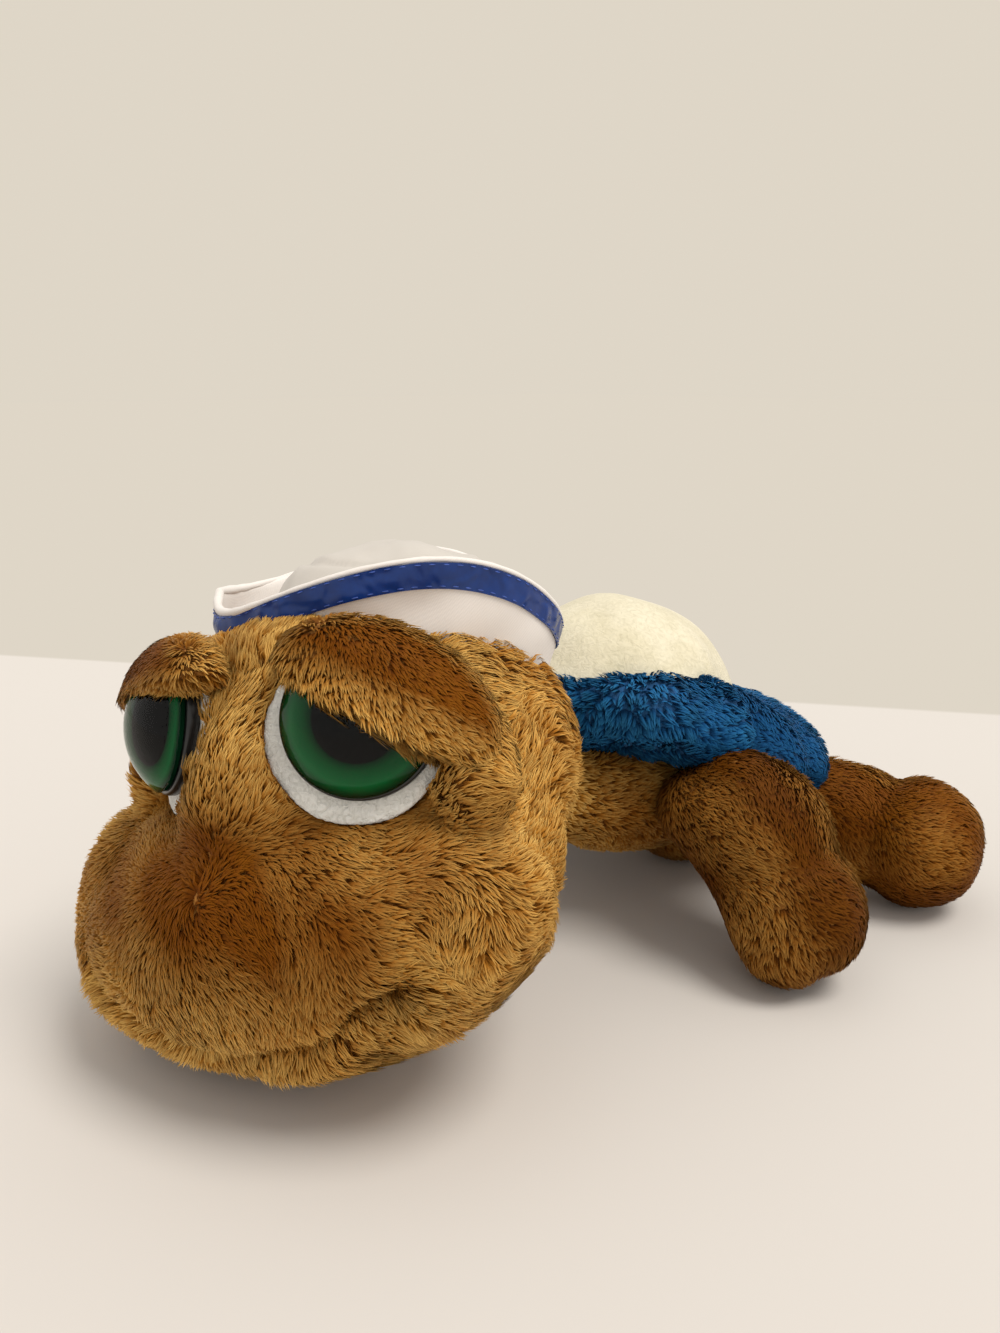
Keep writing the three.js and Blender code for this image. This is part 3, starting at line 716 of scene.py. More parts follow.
HEAD_LUMPS = {
    "cranium": ((0, -43, 20), (115, 104, 90)),
    "muzzle": ((-10, -76, -14), (150, 88, 76), (0, math.radians(-7), 0)),
    "bridge": ((-4, -83, 27), (50, 49, 62), (math.radians(-17), 0, 0)),
    "forehead": ((0, -70, 50), (78, 40, 30), (math.radians(-17), 0, 0)),
    "left_cheek": ((31, -55, 0), (54, 56, 56)),
    "right_cheek": ((-31, -55, 0), (54, 56, 56)),
    "right_jowl": ((-52, -72, -8), (60, 66, 50)),
    "chin": ((3, -84, -35), (66, 54, 26), (0, math.radians(-7), 0)),
}
EYE_CORNER = ((24, -15, -2), (20, 32, 18))


def mirrored(spec, sign):
    return ((sign * spec[0][0], *spec[0][1:]), *spec[1:])


balls = [lump(head_frame, *spec) for spec in HEAD_LUMPS.values()]
balls += [lump(eye_frames[side], *mirrored(EYE_CORNER, sign)) for side, sign in SIDES.items()]
head = grown_together("head_cover", balls, voxel=HEAD_VOXEL, rounds=12)


def mouth_height(x):
    return MOUTH_LOW + MOUTH_RISE * ((x - MOUTH_CENTRE) / MOUTH_HALF_WIDTH) ** 2


def near(distance, width):
    """A soft hill: 1 on a line and nothing a few widths away from it."""
    return np.exp(-((distance / width) ** 2))


def mouth_strength(local):
    reach = np.abs(local[:, 0] - MOUTH_CENTRE) / MOUTH_HALF_WIDTH
    return np.clip((1.12 - reach) / 0.12, 0, 1) * (local[:, 1] < -60 * MM)


def mouth_line(local):
    return near(local[:, 2] - mouth_height(local[:, 0]), SEAM_WIDTH) * mouth_strength(local)


def dimple(local):
    return near(np.linalg.norm((local - MOUTH_CORNER) * np.array([1, 0.5, 1.5]), axis=1), DIMPLE_RADIUS)


def felt_middle(side):
    """Where the middle of an eye's felt lies, across the eye's axis."""
    return np.array([-SIDES[side] * FELT_ASIDE, -FELT_DROP])


def from_felt(side, seen):
    return np.linalg.norm(seen[:, :2] - felt_middle(side), axis=1)


def shape_head():
    """Draws in the seams, presses a flat seat for each eye, and a recess beside the right one."""
    local = into(head_frame, points_of(head))
    depth = GUSSET_DEPTH * near(local[:, 1] - GUSSET_PLACE, SEAM_WIDTH)
    depth += MOUTH_DEPTH * mouth_line(local) + DIMPLE_DEPTH * dimple(local)
    points = points_of(head) - normals_of(head) * depth[:, None]
    for side, sign in SIDES.items():
        seat = into(eye_frames[side], points)
        away = from_felt(side, seat)
        seat[(away < SEAT_RADIUS) & (seat[:, 2] > SEAT_LEVEL), 2] = SEAT_LEVEL
        if side == "right":
            toward_nose = np.clip(-sign * seat[:, 0] / np.maximum(away, 1e-6), 0, 1)
            beside = near(away - SEAT_RADIUS - 3 * MM, 4 * MM) * (seat[:, 2] > -9 * MM)
            seat[:, 2] -= RECESS_DEPTH * toward_nose * beside
        points = out_of(eye_frames[side], seat)
    move_points(head, points)


shape_head()
local = into(head_frame, points_of(head))
inflate(head, pressure=3.0, cap=2.5, pinned=mouth_line(local) + 2 * dimple(local) > 0.5)
press_on_table(head)
head.data.materials.append(brown_cover)
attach(head, "head")
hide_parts("head_face", "head_back", "head_jaw", "head_stuffing")
print("head skin", len(head.data.polygons), "faces")

# %% [markdown]
# The pile of the head runs away from the nose in all directions: up the bridge, out over the cheeks and down
# to the mouth. No tuft grows under the felt of the eyes, under the hat or inside the neck.

# %% Head pile
NOSE = np.array([-8, -118, 6]) * MM
NECK_ROOM = 19 * MM
CROWN_FOOT = (43, 35.5)
BRIM_FOOT, BRIM_FOOT_SWING = -11, 9
PRESSED_SHADE_STRENGTH, PRESSED_SHADE_FALL = 1.45, 1.2
PRESSED_SHADE_PLACE, PRESSED_SHADE_RADII = np.array([0, -108, 6]) * MM, np.array([72, 52, 27]) * MM


def head_lay(points):
    away = into(head_frame, points) - NOSE
    away[:, 2] -= 0.35 * np.abs(away[:, 0]) + 4 * MM
    return turned_out_of(head_frame, away)


def brim_foot(angle):
    """Height of the hat band's lower edge, in the hat's frame."""
    return (BRIM_FOOT - BRIM_FOOT_SWING * np.cos(2 * angle)) * MM


def head_keep(points, outward):
    keep = np.linalg.norm(points - np.array(neck_pivot), axis=1) > NECK_ROOM
    capped = into(hat_frame, points)
    foot = brim_foot(np.arctan2(capped[:, 1], capped[:, 0]))
    beyond = np.hypot(capped[:, 0] / CROWN_FOOT[0], capped[:, 1] / CROWN_FOOT[1]) > 1 * MM
    keep &= beyond | (capped[:, 2] < foot + 1 * MM)
    for side in SIDES:
        seat = into(eye_frames[side], points)
        keep &= (from_felt(side, seat) > SEAT_RADIUS - 0.6 * MM) | (seat[:, 2] < -6 * MM)
    return keep


# The pit at the corner of the mouth. Its tufts are shorter there, and their darker colour is painted shade.
def head_pit(points):
    return near(np.linalg.norm(into(head_frame, points) - MOUTH_CORNER, axis=1), 5.5 * MM)


# Where the head's pile lies flat and its darker colours are painted shade: over the top of the muzzle, and
# most in the pit at the mouth's corner.
def head_deep(points):
    away = (into(head_frame, points) - PRESSED_SHADE_PLACE) / PRESSED_SHADE_RADII
    top = PRESSED_SHADE_STRENGTH - PRESSED_SHADE_FALL * np.linalg.norm(away, axis=1) + 0.22 * waves(points, 26 * MM, 13)
    return np.maximum(top, 1.6 * head_pit(points))


def head_thin(points):
    """Fewer tufts behind the face and under the chin, where none are seen close."""
    local = into(head_frame, points)
    behind = np.clip(0.45 + (-40 * MM - local[:, 1]) / (30 * MM), 0.45, 1)
    return behind * np.where(local[:, 2] < -44 * MM, 0.6, 1)


def clear_of_felt(points):
    """Pushes tufts aside where the felt of an eye lies."""
    for side in SIDES:
        seen = into(eye_frames[side], points)
        far = from_felt(side, seen)
        reach = FELT_CLEARANCE + 0.7 * MM * waves(points, 7 * MM, 14)
        hit = (far < reach) & (np.abs(seen[:, 2]) < 12 * MM)
        flat = (seen[hit, :2] - felt_middle(side)) * (reach[hit] / np.maximum(far[hit], 1e-6))[:, None]
        seen[hit, :2] = flat + felt_middle(side)
        points = out_of(eye_frames[side], seen)
    return points


def wear(pieces, body):
    for piece in pieces:
        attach(piece, body)


wear(grow_pile("head_pile", head, head_lay, brown_pile, length=7.0, width=0.78, per_mm2=1.9,
               keep=head_keep, deep=head_deep, pit=head_pit, clear=clear_of_felt, thin=head_thin,
               lean=(52, 84), swirl=55, lock=0.42, seed=11),
     "head")

# %% [markdown]
# Each eyelid is a small stuffed cushion that slants over the eye and presses on it. Its pile runs from the
# inner corner to the outer one and hangs over the eye as a fringe.

# %% Eyelids
LIDS = {
    "left": {"size": (60, 38, 25), "place": (6.5, 3.2, 5.0), "slant": 35, "margin": -2.5},
    "right": {"size": (68, 34, 25), "place": (2.5, 6.0, 5.0), "slant": 14, "margin": 3.0},
}
LID_INSET = 1.6
LID_FOLD = 0.22
LID_VOXEL = 1.8
LID_GAP = 0.5 * MM
HIDDEN_PLACE, HIDDEN_SIZE = (0, -43, 20), (114, 96, 82)
DOME_BASE, DOME_HEIGHT, DOME_RIM = 6.8 * MM, 10 * MM, 19.15 * MM
DOME_RADIUS = (DOME_RIM ** 2 + DOME_HEIGHT ** 2) / (2 * DOME_HEIGHT)
DOME_CENTRE = Vector((0, 0, DOME_BASE + DOME_HEIGHT - DOME_RADIUS))
lid_frames = {}


def clear_of_domes(points):
    """Moves points out of the eye domes."""
    for side in SIDES:
        seen = into(eye_frames[side], points)
        from_centre = seen - np.array(DOME_CENTRE)
        far = np.linalg.norm(from_centre, axis=1)
        hit = (far < DOME_RADIUS + LID_GAP) & (seen[:, 2] > 0)
        out = from_centre[hit] * ((DOME_RADIUS + LID_GAP) / far[hit])[:, None]
        seen[hit] = np.array(DOME_CENTRE) + out
        points = out_of(eye_frames[side], seen)
    return points


def lid_lay(side, sign):
    inner_end = np.array([-sign * 34, 9, 8]) * MM

    def lay(points):
        away = into(lid_frames[side], points) - inner_end
        away[:, 1] -= 14 * MM
        return turned_out_of(lid_frames[side], away)
    return lay


# Where a lid's pile lies flat and takes darker colours, painted shade: on the upper, outer part of the lid.
def lid_deep(side):
    def deep(points):
        seen = into(lid_frames[side], points)
        return np.clip((seen[:, 1] + 3 * MM) / (9 * MM), 0, 1) * np.clip(seen[:, 2] / (5 * MM), 0, 1)
    return deep


def outside_head(points, outward):
    """Keeps what lies outside an ellipsoid a little smaller than the cranium."""
    away = into(head_frame, points) - np.array(HIDDEN_PLACE) * MM
    return np.linalg.norm(away / (np.array(HIDDEN_SIZE) / 2 * MM), axis=1) > 1


for number, (side, sign) in enumerate(SIDES.items()):
    shape = LIDS[side]
    lid_frames[side] = (
        eye_frames[side]
        @ Matrix.Translation(Vector((sign * shape["place"][0], *shape["place"][1:])) * MM)
        @ Matrix.Rotation(-sign * math.radians(shape["slant"]), 4, "Z")
    )
    cushion = lump(lid_frames[side], (0, 0, 0), inset(shape["size"], LID_INSET))
    lid = grown_together(f"{side}_lid_cover", [cushion], voxel=LID_VOXEL, rounds=4)
    inflate(lid, pressure=2.0, cap=1.0)
    seen = into(lid_frames[side], points_of(lid))
    margin = shape["margin"] * MM
    below = seen[:, 1] < margin
    seen[below, 1] = margin + (seen[below, 1] - margin) * LID_FOLD
    move_points(lid, out_of(lid_frames[side], seen))
    apply_modifier(lid, "SMOOTH", factor=SMOOTH_FACTOR, iterations=3)
    move_points(lid, clear_of_domes(points_of(lid)))
    lid.data.materials.append(brown_cover)
    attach(lid, "head")
    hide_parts(f"{side}_eyelid")
    wear(grow_pile(f"{side}_lid_pile", lid, lid_lay(side, sign), brown_pile, length=5.2, width=0.75,
                   per_mm2=2.1, keep=outside_head, clear=clear_of_domes, deep=lid_deep(side), swirl=22,
                   lean=(52, 80), seed=31 + number),
         "head")

# %% [markdown]
# The eyes are the usual safety eyes: a clear dome over a green disc with a black pupil, in a black cup whose
# post goes through the cloth into a washer. A piece of white felt lies under each. The parts are turned
# shapes, so each starts as a cylinder or a sphere on the eye's own axis.

# %% Eye finishes
IRIS_RADIUS = 18.4
PUPIL_SHARE = 0.55
PUPIL_BLACK = (0.002, 0.002, 0.002)

glass, tree, shader = new_material("clear_dome")
set_inputs(shader, Base_Color=(0.97, 1.0, 0.98, 1), Roughness=0.015, Transmission_Weight=1.0, IOR=1.26)
black = mottled("black_plastic", (0.3, (0.004, 0.004, 0.004)), (0.7, (0.012, 0.012, 0.012)), 260, 3,
                Roughness=0.28)
felt = mottled("white_felt", (0.25, (0.66, 0.65, 0.59)), (0.6, (0.86, 0.85, 0.80)), 520, 6, 1.5,
               bumps=(0.9, 0.0009), Roughness=1.0, Sheen_Weight=0.3)


def radius_from(tree, matrix):
    """The distance from an eye's axis, in metres, as a socket."""
    flat = node(tree, "ShaderNodeVectorMath")
    flat.operation = "MULTIPLY"
    flat.inputs[1].default_value = (1, 1, 0)
    length = node(tree, "ShaderNodeVectorMath")
    length.operation = "LENGTH"
    tree.links.new(mapped(tree, "TEXTURE", matrix.to_translation(), matrix.to_euler()), flat.inputs[0])
    tree.links.new(flat.outputs["Vector"], length.inputs[0])
    return length.outputs["Value"]


def iris_finish(side):
    material, tree, shader = new_material(f"{side}_green_iris")
    share = math_node(tree, "DIVIDE", radius_from(tree, eye_frames[side]), IRIS_RADIUS * MM)
    colour = ramp(tree, share, [
        (0.0, PUPIL_BLACK), (PUPIL_SHARE - 0.01, PUPIL_BLACK), (PUPIL_SHARE + 0.01, (0.002, 0.03, 0.009)),
        (0.66, (0.003, 0.08, 0.02)), (0.84, (0.005, 0.14, 0.035)), (0.93, (0.003, 0.07, 0.018)),
        (1.0, (0.002, 0.02, 0.008)),
    ])
    surface(tree, shader, colour, Roughness=0.6, Specular_IOR_Level=0.0)
    return material


# %% Turned shapes
TURNED_SMOOTH = 35
FELT_FLAT, FELT_EDGE = 17 * MM, 7.5 * MM
FELT_WAVE, FELT_UNEVEN, FELT_SAG = 0.022, 0.25 * MM, 0.9 * MM


def round_and_place(piece, matrix, finish, bevel, corner=30):
    """Rounds the edges sharper than an angle, carries the piece to its frame and gives it a finish."""
    apply_place()
    apply_modifier(piece, "BEVEL", width=bevel * MM, segments=3, limit_method="ANGLE",
                   angle_limit=math.radians(corner))
    piece.matrix_world = matrix
    select_only(piece)
    apply_place()
    smooth(piece, TURNED_SMOOTH)
    piece.data.materials.append(finish)
    return piece


def turned(name, matrix, radius, levels, finish, bevel=0.4, sides=72, centre=(0, 0)):
    """A disc on a frame's axis, between two levels. All in millimetres but the centre."""
    low, high = levels
    deselect()
    bpy.ops.mesh.primitive_cylinder_add(vertices=sides, radius=radius * MM, depth=(high - low) * MM,
                                        location=(*centre, (low + high) / 2 * MM))
    disc = bpy.context.object
    disc.name = disc.data.name = name
    return round_and_place(disc, matrix, finish, bevel)


def clear_dome(name, matrix):
    """The cap of a sphere, cut off at the dome's base."""
    deselect()
    bpy.ops.mesh.primitive_uv_sphere_add(segments=96, ring_count=64, radius=DOME_RADIUS,
                                         location=DOME_CENTRE)
    dome = bpy.context.object
    dome.name = dome.data.name = name
    on_all_faces(dome, bpy.ops.mesh.bisect, plane_co=(0, 0, DOME_BASE), plane_no=(0, 0, 1), use_fill=True,
                 clear_inner=True)
    return round_and_place(dome, matrix, glass, bevel=0.5, corner=35)


def felt_shape(piece, side):
    """Wavy cut edge and a soft, uneven surface."""
    apply_modifier(piece, "REMESH", mode="VOXEL", voxel_size=FELT_VOXEL)
    apply_modifier(piece, "SMOOTH", factor=SMOOTH_FACTOR, iterations=3)
    seen = into(eye_frames[side], points_of(piece))
    flat = seen[:, :2] - felt_middle(side)
    edge = np.clip((np.linalg.norm(flat, axis=1) - FELT_FLAT) / FELT_EDGE, 0, 1)
    wavy = 1 + FELT_WAVE * edge * waves(unit(np.column_stack([flat, np.zeros(len(flat))])), 1.2, 51)
    seen[:, :2] = felt_middle(side) + flat * wavy[:, None]
    seen[:, 2] += FELT_UNEVEN * waves(seen, 9 * MM, 52) - FELT_SAG * edge ** 2
    move_points(piece, out_of(eye_frames[side], seen))
    smooth(piece)


# %% Eyes
FELT_RADIUS, FELT_LEVELS = 22.8, (0.4, 1.9)
FELT_VOXEL = 0.75 * MM
CUP_RADIUS, CUP_LEVELS = 19.5, (2.0, 5.5)
POST_RADIUS, POST_LEVELS = 3.0, (-4.5, 2.4)
IRIS_LEVELS = (5.65, 6.95)

for side in SIDES:
    matrix = eye_frames[side]
    cloth = turned(f"{side}_felt_backing", matrix, FELT_RADIUS, FELT_LEVELS, felt, centre=felt_middle(side))
    felt_shape(cloth, side)
    cup = turned(f"{side}_cup_shell", matrix, CUP_RADIUS, CUP_LEVELS, black, bevel=0.9)
    post = turned(f"{side}_cup_post", matrix, POST_RADIUS, POST_LEVELS, black, sides=24)
    disc = turned(f"{side}_iris_disc", matrix, IRIS_RADIUS, IRIS_LEVELS, iris_finish(side), bevel=0.2)
    dome = clear_dome(f"{side}_clear_dome", matrix)
    for piece, slot, node_name in ((cloth, "felt", "felt"), (cup, "black", "cup"), (disc, "iris", "iris"),
                                   (dome, "lens", "lens")):
        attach(piece, "head")
        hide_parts(f"{side}_eye_{node_name}")
    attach(post, "head")
print("eyes made, dome radius", round(DOME_RADIUS / MM, 1), "mm")

# %% [markdown]
# The hat is a soft crown in an upturned band. The band is low at its two ends and high at its sides, so it
# is modelled as a ring of cloth whose height changes with the angle round the hat. A blue ribbon follows its
# top edge, with a row of stitches along each side, and a white piping closes the edge.

# %% Cotton and satin


def woven(tree, scale, angle):
    """Fine diagonal ribs, as on twill."""
    made = node(tree, "ShaderNodeTexWave", Scale=scale, Distortion=1.2, Detail=2.0, Detail_Scale=2.0)
    tree.links.new(mapped(tree, "POINT", turn=angle), made.inputs["Vector"])
    return made.outputs["Fac"]


def twill_finish(name, dark, pale):
    material, tree, shader = new_material(name)
    weave = mix(tree, 0.5, woven(tree, 560, (0.3, 0.5, 0.8)), woven(tree, 640, (1.1, 0.2, -0.7)))
    cotton = ramp(tree, weave, [(0.2, dark), (0.75, pale)])
    creased = clouded(tree, cotton, (0.93, 0.92, 0.91), 45, 3, places=(0.3, 0.7))
    surface(tree, shader, creased, Roughness=0.85, Sheen_Weight=0.1)
    bump(tree, shader, weave, 0.12, 0.0002)
    return material


band_twill = twill_finish("white_twill", (0.83, 0.79, 0.75), (0.88, 0.84, 0.80))
# The crown's twill is a darker copy of the band's white twill: the darkening is painted shade.
crown_twill_painted_shade = twill_finish("crown_twill_painted_shade", (0.57, 0.54, 0.49), (0.62, 0.58, 0.53))
satin = mottled("blue_satin", (0.0, (0.001, 0.022, 0.14)), (1.0, (0.002, 0.042, 0.24)), 240, 3, 1.5,
                Roughness=0.27, Specular_IOR_Level=0.4)
tree = satin.node_tree
bump(tree, tree.nodes["Principled BSDF"], noise(tree, 120, 1, 0.6), 0.6, 0.003)
thread = mottled("blue_thread", (0.3, (0.02, 0.06, 0.30)), (0.7, (0.06, 0.13, 0.50)), 900, 2, Roughness=0.6)

# %% Brim
BRIM_HALF_LENGTH, BRIM_HALF_WIDTH = 46.5 * MM, 39 * MM
BRIM_FLARE = 4 * MM
BRIM_RINGS, BRIM_SIDES = 10, 144
BRIM_MEAN, BRIM_SWING, BRIM_SLANT = 14.0, 9.0, 5.2
FAR_TIP, NEAR_TIP = (2.8, 2.85, 0.45), (-1.5, -2.75, 0.35)
CRUMPLE_DEPTH, FOLD_DEPTH = 0.9 * MM, 1.6 * MM
FOLD_ANGLE, FOLD_SHARE = -1.5, 0.55
CLOTH_THICKNESS = 1.5 * MM


def brim_top(angle):
    """Height of the band's upper edge. Each tip is a rise in millimetres, an angle and a width."""
    turn = -np.sqrt(angle ** 2 + 0.02)
    level = BRIM_MEAN - BRIM_SWING * np.cos(2 * turn) - BRIM_SLANT * np.sin(2 * turn)
    for rise, place, width in (FAR_TIP, NEAR_TIP):
        level = level + rise * near(angle - place, width)
    return level * MM


def brim_points(angle, share, outward=0.0):
    """Points of the band's outer face, in the hat's frame."""
    top, foot = brim_top(angle), brim_foot(angle)
    flare = BRIM_FLARE * share + outward
    flat = np.column_stack([
        (BRIM_HALF_LENGTH + flare) * np.cos(angle),
        (BRIM_HALF_WIDTH + flare) * np.sin(angle),
        foot + (top - foot) * share,
    ])
    crumple = CRUMPLE_DEPTH * waves(flat, 30 * MM, 61) * np.sin(np.pi * np.clip(share, 0, 1)) ** 0.5
    fold = FOLD_DEPTH * near(angle - FOLD_ANGLE, 0.16) * near(share - FOLD_SHARE, 0.22)
    flat[:, :2] *= (1 + (crumple - fold) / BRIM_HALF_WIDTH)[:, None]
    return flat


def open_band(name, sides, rings):
    """A tube one unit across and one unit high, cut into rings, ready to be shaped."""
    deselect()
    bpy.ops.mesh.primitive_cylinder_add(vertices=sides, radius=1, depth=1, end_fill_type="NOTHING",
                                        location=(0, 0, 0.5))
    band = bpy.context.object
    band.name = band.data.name = name
    for ring in range(1, rings):
        on_all_faces(band, bpy.ops.mesh.bisect, plane_co=(0, 0, ring / rings), plane_no=(0, 0, 1))
    apply_place()
    points = points_of(band)
    return band, np.arctan2(points[:, 1], points[:, 0]), points[:, 2].copy()


brim, angle, share = open_band("hat_band", BRIM_SIDES, BRIM_RINGS)
move_points(brim, out_of(hat_frame, brim_points(angle, share)))
apply_modifier(brim, "SOLIDIFY", thickness=CLOTH_THICKNESS, offset=-1)
apply_modifier(brim, "SUBSURF", levels=1, render_levels=1)
smooth(brim)
brim.data.materials.append(band_twill)
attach(brim, "head")
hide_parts("hat_brim")

# %% Piping


def tube_along(name, path, radius, sides, finish):
    """A round cord along a closed path, made as a curve and turned into a mesh."""
    curve = bpy.data.curves.new(name, "CURVE")
    curve.dimensions = "3D"
    curve.bevel_depth = 1.0
    curve.bevel_resolution = sides
    spline = curve.splines.new("POLY")
    spline.points.add(len(path) - 1)
    for point, place, wide in zip(spline.points, path, radius):
        point.co = (*place, 1)
        point.radius = wide
    spline.use_cyclic_u = True
    piece = add_object(name, curve)
    select_only(piece)
    bpy.ops.object.convert(target="MESH")
    piece = bpy.context.object
    bpy.ops.object.shade_smooth()
    piece.data.materials.append(finish)
    return piece


edge_angle = np.linspace(-np.pi, np.pi, 181)[:-1]
edge = brim_points(edge_angle, np.ones(len(edge_angle)), -0.5 * MM)
thick = (0.75 + 0.65 * np.clip((np.abs(edge_angle) - 2.3) / 0.4, 0, 1)) * MM
thick = thick * (1 + 0.12 * waves(edge, 9 * MM, 62))
piping = tube_along("hat_piping", out_of(hat_frame, edge), thick, 3, band_twill)
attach(piping, "head")

# %% Crown
CROWN_PLACE, CROWN_SIZE = (5, 0, 3), (78, 65, 48)
CREASE_DEPTH, WRINKLE_DEPTH, TOP_SEAM_DEPTH = 0.9 * MM, 0.35 * MM, 1.3 * MM
crown = grown_together("hat_top", [lump(hat_frame, CROWN_PLACE, CROWN_SIZE)], voxel=1.8, rounds=6)
inflate(crown, pressure=2.0, cap=1.2)
points = points_of(crown)
seen = into(hat_frame, points)
creases = CREASE_DEPTH * waves(points, 26 * MM, 63) + WRINKLE_DEPTH * waves(points, 9 * MM, 64)
seam = TOP_SEAM_DEPTH * near(np.hypot(seen[:, 0] / 41, seen[:, 1] / 33) - 0.62 * MM, 0.03 * MM)
push_out(crown, creases - seam * (seen[:, 2] > 0))
crown.data.materials.append(crown_twill_painted_shade)
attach(crown, "head")
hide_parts("hat_crown", "hat_wadding")

# %% Ribbon and stitches
RIBBON_WIDTH = 7.0 * MM
RIBBON_BELOW_EDGE = 0.8 * MM
RIBBON_SIDES, RIBBON_RINGS = 288, 5
RIBBON_THICKNESS = 0.4 * MM
STITCH_LENGTH, STITCH_WIDTH = 2.0 * MM, 0.42 * MM
STITCHES = 84
STITCH_LIFT = 0.62 * MM


def ribbon_points(angle, across, off):
    """across runs from 0 at the ribbon's lower edge to 1 at its upper edge."""
    top, foot = brim_top(angle), brim_foot(angle)
    share = (top - RIBBON_BELOW_EDGE - RIBBON_WIDTH * (1 - across) - foot) / (top - foot)
    return brim_points(angle, share, off)


ribbon, angle, across = open_band("hat_satin", RIBBON_SIDES, RIBBON_RINGS)
flat = ribbon_points(angle, across, 0.45 * MM)
pucker = 0.30 * MM * waves(flat, 6 * MM, 65) * np.sin(np.pi * across)
move_points(ribbon, out_of(hat_frame, ribbon_points(angle, across, 0.6 * MM + pucker)))
apply_modifier(ribbon, "SOLIDIFY", thickness=RIBBON_THICKNESS, offset=-1)
smooth(ribbon, 50)
ribbon.data.materials.append(satin)
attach(ribbon, "head")
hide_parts("hat_ribbon")

deselect()
bpy.ops.mesh.primitive_uv_sphere_add(segments=6, ring_count=4, radius=0.5)
stitch = bpy.context.object
stitch_points = points_of(stitch)
stitch_faces = [list(face.vertices) for face in stitch.data.polygons]
bpy.data.objects.remove(stitch)


def row_of_stitches(name, across):
    """Stitches at even angles round the ribbon, at one height on it."""
    centres = (np.arange(STITCHES) + 0.5) / STITCHES * 2 * np.pi - np.pi
    level = np.full(STITCHES, across)
    here, ahead = (out_of(hat_frame, ribbon_points(centres + step, level, STITCH_LIFT))
                   for step in (0, 0.01))
    along = unit(ahead - here)
    side = unit(np.cross(along, unit(here - np.array(hat_frame.to_translation()))))
    corners = (
        here[:, None]
        + stitch_points[None, :, 0, None] * along[:, None] * STITCH_LENGTH
        + stitch_points[None, :, 1, None] * side[:, None] * STITCH_WIDTH
        + stitch_points[None, :, 2, None] * np.cross(along, side)[:, None] * STITCH_WIDTH
    )
    count, per = corners.shape[:2]
    mesh = bpy.data.meshes.new(name)
    faces = [[i * per + corner for corner in face] for i in range(count) for face in stitch_faces]
    mesh.from_pydata(corners.reshape(-1, 3).tolist(), [], faces)
    piece = add_object(name, mesh)
    on_all_faces(piece, bpy.ops.mesh.normals_make_consistent, inside=False)
    bpy.ops.object.shade_smooth()
    mesh.materials.append(thread)
    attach(piece, "head")


row_of_stitches("stitches_high", 0.92)
row_of_stitches("stitches_low", 0.10)

# %% [markdown]
# The body is a torso and a broad rump that rests on the table, with a short neck that ends in a ball inside
# the head. All of its pile runs to the rear. Only the parts that can be seen get pile.

# %% Body
NECK_BALL = 44
BODY_LUMPS = [
    ((0, 0, 44), (76, 98, 46), (math.radians(-7), 0, 0)),
    ((0, 38, 26), (50, 46, 51)),
    ((0, -46, 52), (44, 50, 40)),
    ((0, -BODY_BEHIND_NECK / MM, neck_pivot.z / MM), (NECK_BALL,) * 3),
]
DOME_LUMP = ((0, -7, 62), (92, 106, 104))
DOME_CUT = (body_frame @ Matrix.Translation(Vector((0, 6, 66)) * MM)
            @ Matrix.Rotation(-math.radians(16), 4, "X"))
SIDE_SEAM_HEIGHT, SIDE_SEAM_SLOPE, SIDE_SEAM_DEPTH = 34 * MM, 0.12, 1.2 * MM


def lay_to(vector):
    def lay(points):
        return np.tile(np.array(vector, dtype=float), (len(points), 1))
    return lay


def outside_lumps(matrix, specs, margin):
    """A test that keeps points outside ellipsoids, or nearer their surface than a margin in millimetres."""
    def keep(points, outward):
        seen = into(matrix, points)
        out = np.ones(len(points), dtype=bool)
        for spec in specs:
            place, size = np.array(spec[0]) * MM, np.array(spec[1]) / 2 * MM - margin * MM
            turn = np.array(Euler(spec[2]).to_matrix()) if len(spec) > 2 else np.eye(3)
            out &= np.linalg.norm(((seen - place) @ turn) / size, axis=1) > 1
        return out
    return keep


outside_dome = outside_lumps(body_frame, [DOME_LUMP], 3)


def off_dome(points, outward):
    """Keeps what lies outside the dome or under the plane it is cut off at."""
    return outside_dome(points, outward) | (into(DOME_CUT, points)[:, 2] < 0)


def body_keep(points, outward):
    return off_dome(points, outward) & (points[:, 2] < 76 * MM)


body = grown_together("body_cover", [lump(body_frame, *spec) for spec in BODY_LUMPS], voxel=2.6, rounds=12)
inflate(body, pressure=2.0, cap=1.5)
press_on_table(body)
points = points_of(body)
side_seam = near(points[:, 2] - SIDE_SEAM_HEIGHT - SIDE_SEAM_SLOPE * points[:, 1], 2.2 * MM)
push_out(body, -SIDE_SEAM_DEPTH * side_seam * (np.abs(points[:, 0]) > 20 * MM))
body.data.materials.append(brown_cover)
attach(body, "torso")
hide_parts("body_back", "body_belly", "body_stuffing", "pellet_bag")
# In slow patches the body's pile lies flatter and takes darker colours, as painted shade.
wear(grow_pile("body_pile", body, lay_to((0, 1, -0.25)), brown_pile, length=6.0, width=1.08,
               per_mm2=0.85, keep=body_keep, deep=lambda p: 0.45 + 0.5 * waves(p, 40 * MM, 72),
               lean=(56, 84), seed=71),
     "torso")

# %% [markdown]
# The shell is a stuffed dome of cream velour. Its pile is so short that the finish alone shows it. The rim
# round it is a soft blue roll, thin behind the head and deep at the rear, that puckers where it is sewn on.

# %% Dome
DOME_INSET = 1.3
DENT_DEPTH = 0.9 * MM

